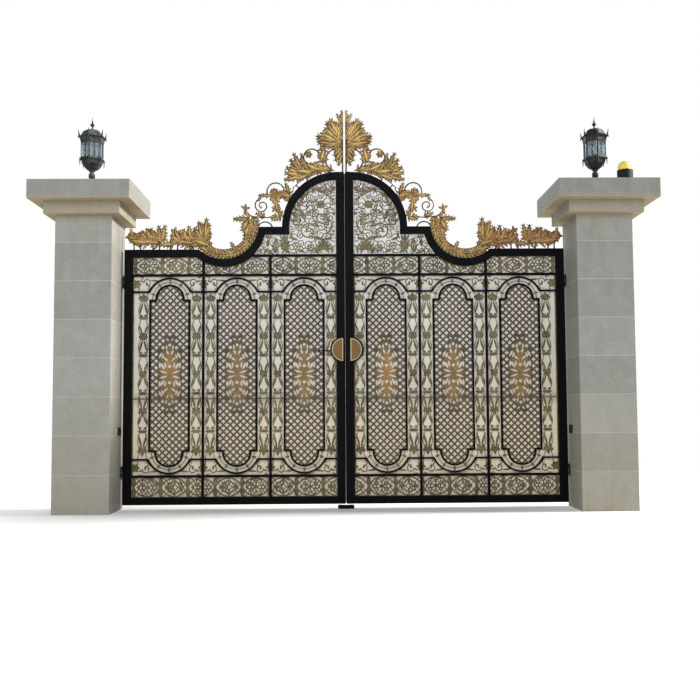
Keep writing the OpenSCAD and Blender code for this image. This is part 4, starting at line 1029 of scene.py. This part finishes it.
def growWires(side):
    low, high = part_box(side + "_friezes")
    near, far = sorted(abs(x - gate["midX"]) for x in (low.x, high.x))
    panels = [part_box(f"{side}_lattice_{k}") for k in (1, 2, 3)]
    centers = sorted(abs((a.x + b.x) / 2 - gate["midX"]) for a, b in panels)
    bottom, top = panels[0][0].z, panels[0][1].z
    panelWidth, bay = panels[0][1].x - panels[0][0].x, centers[1] - centers[0]

    def fromDip(u, z):
        return hypot(u - crest["dipU"], z - crest["dipZ"]) - crest["dipR"]

    def inField(u, z):
        return near + wires["edge"] < u < far - wires["edge"] and fromDip(u, z) > wires["dipEdge"]

    def inHead(u, z):
        edge = wires["headEdge"]
        if u <= near + wires["headSide"] or z < wires["headLow"] or fromDip(u, z) < edge:
            return False
        if z > crest["stepZ"] - edge:
            return hypot(max(u - crest["sweepU"], 0), z - crest["stepZ"]) < crest["sweepR"] - edge
        return u < crest["dipU"]

    made = Wires(inField)
    for z0, z1 in wires["friezes"]:
        for height, length, shift in wires["waves"]:
            rise, pitch = (z1 - z0) / 2 * height, wires["friezePitch"] * length
            made.run(wave(near, far, (z0 + z1) / 2, rise, pitch, shift), wires["friezeWidth"])
    for center in centers:
        for part in (-1, 1):
            growTendrils(made, center + part * (bay + panelWidth) / 4, bottom, top)
        for z, up in ((top, 1), (bottom, -1)):
            for part in (-1, 1):
                for out, rise, r, start, turn in wires["corners"]:
                    made.curl(center + part * bay * out, z + up * rise, r, start, turn * part * up)
    made.keep = inHead
    picks = random.Random(wires["seed"])
    placed = []
    for attempt in range(wires["tries"]):
        if len(placed) >= wires["curls"]:
            break
        u = picks.uniform(near, crest["dipU"])
        z = picks.uniform(wires["headLow"], crest["stepZ"] + crest["sweepR"])
        if not inHead(u, z) or any(hypot(u - a, z - b) < wires["curlSpace"] for a, b in placed):
            continue
        placed.append((u, z))
        r, start = picks.uniform(*wires["curlSizes"]), picks.uniform(0, 360)
        made.curl(u, z, r, start, picks.choice((-1, 1)), wires["curlWidth"])
    middleY = gate["leafY"] + wires["behind"]
    verts = [(gate["midX"] + ways[side] * u, middleY + y, z) for u, y, z in made.verts]
    obj = meshObject(side + "FineScrolls", verts, made.faces, 40)
    obj.data.materials.append(finishes["wire"])
    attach(obj, side + "_leaf")
    return obj


for side in ways:
    print("fine scrolls:", side, len(growWires(side).data.polygons), "faces")


# Brush strips in the gap between the leaves, each on its own side of the middle, one behind the other.
# They are painted shade: dark strips that close the gap and stand in for the shade seen through it.

brushes = {
    "left": 0.004, "right": 0.018, "depth": 0.006,  # behind leafY, and thickness
    "gap": 0.0004, "reach": 0.0052, "inset": 0.004, "arris": 0.0008,
}
for side, way in ways.items():
    low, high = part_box(side + "_meeting_stile")
    start, end = sorted(gate["midX"] + way * x for x in (brushes["gap"], brushes["reach"]))
    front, inset = gate["leafY"] + brushes[side], brushes["inset"]
    brush = bevelledBox(
        side + "MeetingBrush", (start, front, low.z + inset),
        (end, front + brushes["depth"], high.z - inset), brushes["arris"])
    brush.data.materials.append(finishes["black_plastic"])
    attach(brush, side + "_leaf")
print("brushes set")


# Bolt heads on the hinge brackets and the ground stop, and candles in the lanterns

def pieceNodes():
    tree, given = nodeGroup("setOnPoints", [
        ("Piece", "NodeSocketObject"), ("Turn", "NodeSocketVector"), ("Finish", "NodeSocketMaterial")])
    piece = put(tree, "GeometryNodeObjectInfo", {"Object": given["Piece"]}).outputs["Geometry"]
    turned = put(tree, "FunctionNodeEulerToRotation", {0: given["Turn"]}).outputs[0]
    copies = put(tree, "GeometryNodeInstanceOnPoints", {
        "Points": given["Geometry"], "Instance": piece, "Rotation": turned}).outputs[0]
    solid = put(tree, "GeometryNodeRealizeInstances", {0: copies}).outputs[0]
    done = put(tree, "GeometryNodeSetMaterial", {"Geometry": solid, "Material": given["Finish"]})
    put(tree, "NodeGroupOutput", {0: done.outputs[0]})
    return tree


def lathe(name, profile, around, smoothAngle=40):
    verts = []
    for r, z in profile:
        for k in range(around):
            a = 2 * pi * k / around
            verts.append((r * cos(a), r * sin(a), z))
    faces = ringFaces(len(profile), around)
    faces.append(tuple(reversed(range(around))))
    faces.append(tuple(range(len(verts) - around, len(verts))))
    return meshObject(name, verts, faces, smoothAngle)


setOnPoints = pieceNodes()


def setPieces(name, piece, points, turn, finish, body):
    obj = meshObject(name, points, [])
    runNodes(obj, setOnPoints, {"Piece": piece, "Turn": turn, "Finish": finishes[finish]})
    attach(obj, body)


bolts = {
    "profile": ((0.0001, 0), (0.0062, 0), (0.0062, 0.0034), (0.0052, 0.0046), (0.0001, 0.0046)),
    "plate": 0.006, "apart": 0.019, "rows": (0.012, 0.052), "stopInset": 0.02,
}
bolt = lathe("boltHead", bolts["profile"], 6, 20)
for side, way in ways.items():
    low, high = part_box(side + "_hinge_brackets")
    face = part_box(side + "_pier")[1 if side == "left" else 0].x - way * bolts["plate"]
    y = (low.y + high.y) / 2
    points = []
    for z, inward in ((low.z, 1), (high.z, -1)):
        for dy in (-bolts["apart"], bolts["apart"]):
            points += [(face, y + dy, z + inward * row) for row in bolts["rows"]]
    turn = (0, -way * pi / 2, 0)
    setPieces(side + "BracketBolts", bolt, points, turn, "zinc", "posts")
low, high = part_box("ground_stop")
inset, y = bolts["stopInset"], (low.y + high.y) / 2
points = [(low.x + inset, y, high.z), (high.x - inset, y, high.z)]
setPieces("stopBolts", bolt, points, (0, 0, 0), "zinc", "posts")
bpy.data.objects.remove(bolt)
print("bolts set")

r, h = lantern["candleRadius"], lantern["candleHeight"]
candle = lathe("candle", [
    (0.0001, 0), (r * 1.5, 0), (r * 1.5, 0.004), (r, 0.006), (r, h * 0.8), (r * 0.5, h * 0.82),
    (r * 0.62, h * 0.9), (r * 0.1, h * 1.15), (0.0001, h * 1.15)], 16)
for side in ways:
    low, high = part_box(side + "_lantern_cage")
    middle, out = (low + high) / 2, lantern["candleCircle"]
    turns = [pi / 2 + 2 * pi * k / lantern["candles"] for k in range(lantern["candles"])]
    points = [(middle.x + out * cos(a), middle.y + out * sin(a), low.z) for a in turns]
    setPieces(side + "Candles", candle, points, (0, 0, 0), "candle", "posts")
bpy.data.objects.remove(candle)
print("candles set")


# Floor, light and camera

studio = {
    "floor": (0.78, 0.775, 0.76), "floorRadius": 60, "floorSides": 96,
    "floorDrop": 0.0005, "fadeStart": 1.2, "fadeEnd": 6.0,
    "sky": (0.84, 0.92, 1.0), "skyStrength": 0.5,
}
lamps = {
    "key": {
        "place": (19.0, 0.5, 11.5), "aim": (1.6, 0.0, 1.4),
        "size": 3.0, "power": 8700.0, "tint": (1.0, 0.95, 0.86)},
    "front": {
        "place": (1.2, -6.8, 4.4), "aim": (2.0, 0.0, 1.2),
        "size": 4.5, "power": 330.0, "tint": (0.95, 0.98, 1.0)},
    "back": {
        "place": (2.0, 4.5, 5.2), "aim": (2.0, 0.0, 1.6),
        "size": 4.0, "power": 160.0, "tint": (1.0, 1.0, 1.0)},
}
camera = {
    "place": (2.011, -7.456, 0.796), "yaw": 0.776, "pitch": 3.80, "roll": -0.34,
    "focalPixels": 917.9, "imagePixels": 700, "sensor": 36.0, "clip": (0.05, 300.0),
}


def floorFinish():
    f = Finish("studioFloor")
    f.set(base=studio["floor"], roughness=0.75)
    away = put(f.tree, "ShaderNodeVectorMath", {0: f.place}, operation="LENGTH").outputs["Value"]
    fade = f.span(away, studio["fadeStart"], studio["fadeEnd"])
    glow = put(f.tree, "ShaderNodeEmission", {"Color": color((1, 1, 1)), "Strength": 1.0}).outputs[0]
    both = put(f.tree, "ShaderNodeMixShader", {0: fade, 1: f.shader.outputs[0], 2: glow}).outputs[0]
    output = next(node for node in f.tree.nodes if node.bl_idname == "ShaderNodeOutputMaterial")
    f.tree.links.new(both, output.inputs["Surface"])
    return f.material


count, radius = studio["floorSides"], studio["floorRadius"]
turns = [2 * pi * k / count for k in range(count)]
verts = [(radius * cos(a), radius * sin(a), 0.0) for a in turns]
floor = meshObject("studioFloor", verts, [tuple(range(count))])
floor.location = (gate["midX"], 0.0, -studio["floorDrop"])
floor.data.materials.append(floorFinish())

world = bpy.data.worlds.new("studio")
bpy.context.scene.world = world
world.use_nodes = True
tree = world.node_tree
tree.nodes.clear()
rays = put(tree, "ShaderNodeLightPath").outputs
seen = put(tree, "ShaderNodeMath", {
    0: rays["Is Camera Ray"], 1: rays["Is Transmission Ray"]}, operation="MAXIMUM").outputs[0]
white = put(tree, "ShaderNodeBackground", {"Color": color((1, 1, 1)), "Strength": 1.0}).outputs[0]
soft = put(tree, "ShaderNodeBackground", {
    "Color": color(studio["sky"]), "Strength": studio["skyStrength"]}).outputs[0]
both = put(tree, "ShaderNodeMixShader", {0: seen, 1: soft, 2: white}).outputs[0]
put(tree, "ShaderNodeOutputWorld", {"Surface": both})

for name, values in lamps.items():
    lamp = bpy.data.lights.new(name + "Light", "AREA")
    lamp.shape = "SQUARE"
    lamp.size = values["size"]
    lamp.energy = values["power"]
    lamp.color = values["tint"]
    obj = bpy.data.objects.new(name + "Light", lamp)
    bpy.context.scene.collection.objects.link(obj)
    place = Vector(values["place"])
    obj.location = place
    obj.rotation_euler = (Vector(values["aim"]) - place).to_track_quat("-Z", "Y").to_euler()
print("studio lit")

yaw, pitch, roll = (radians(camera[k]) for k in ("yaw", "pitch", "roll"))
forward = Vector((sin(yaw) * cos(pitch), cos(yaw) * cos(pitch), sin(pitch)))
rightward = Vector((cos(yaw), -sin(yaw), 0.0))
upward = rightward.cross(forward)
turnedRight = rightward * cos(roll) + upward * sin(roll)
turnedUp = turnedRight.cross(forward)
lens = bpy.data.cameras.new("camera")
lens.sensor_width = camera["sensor"]
lens.lens = camera["focalPixels"] / camera["imagePixels"] * camera["sensor"]
lens.clip_start, lens.clip_end = camera["clip"]
view = bpy.data.objects.new("camera", lens)
bpy.context.scene.collection.objects.link(view)
turned = Matrix((turnedRight, turnedUp, -forward)).transposed().to_4x4()
turned.translation = Vector(camera["place"])
view.matrix_world = turned
bpy.context.scene.camera = view
bpy.context.scene.view_settings.view_transform = "Standard"
print("camera set")
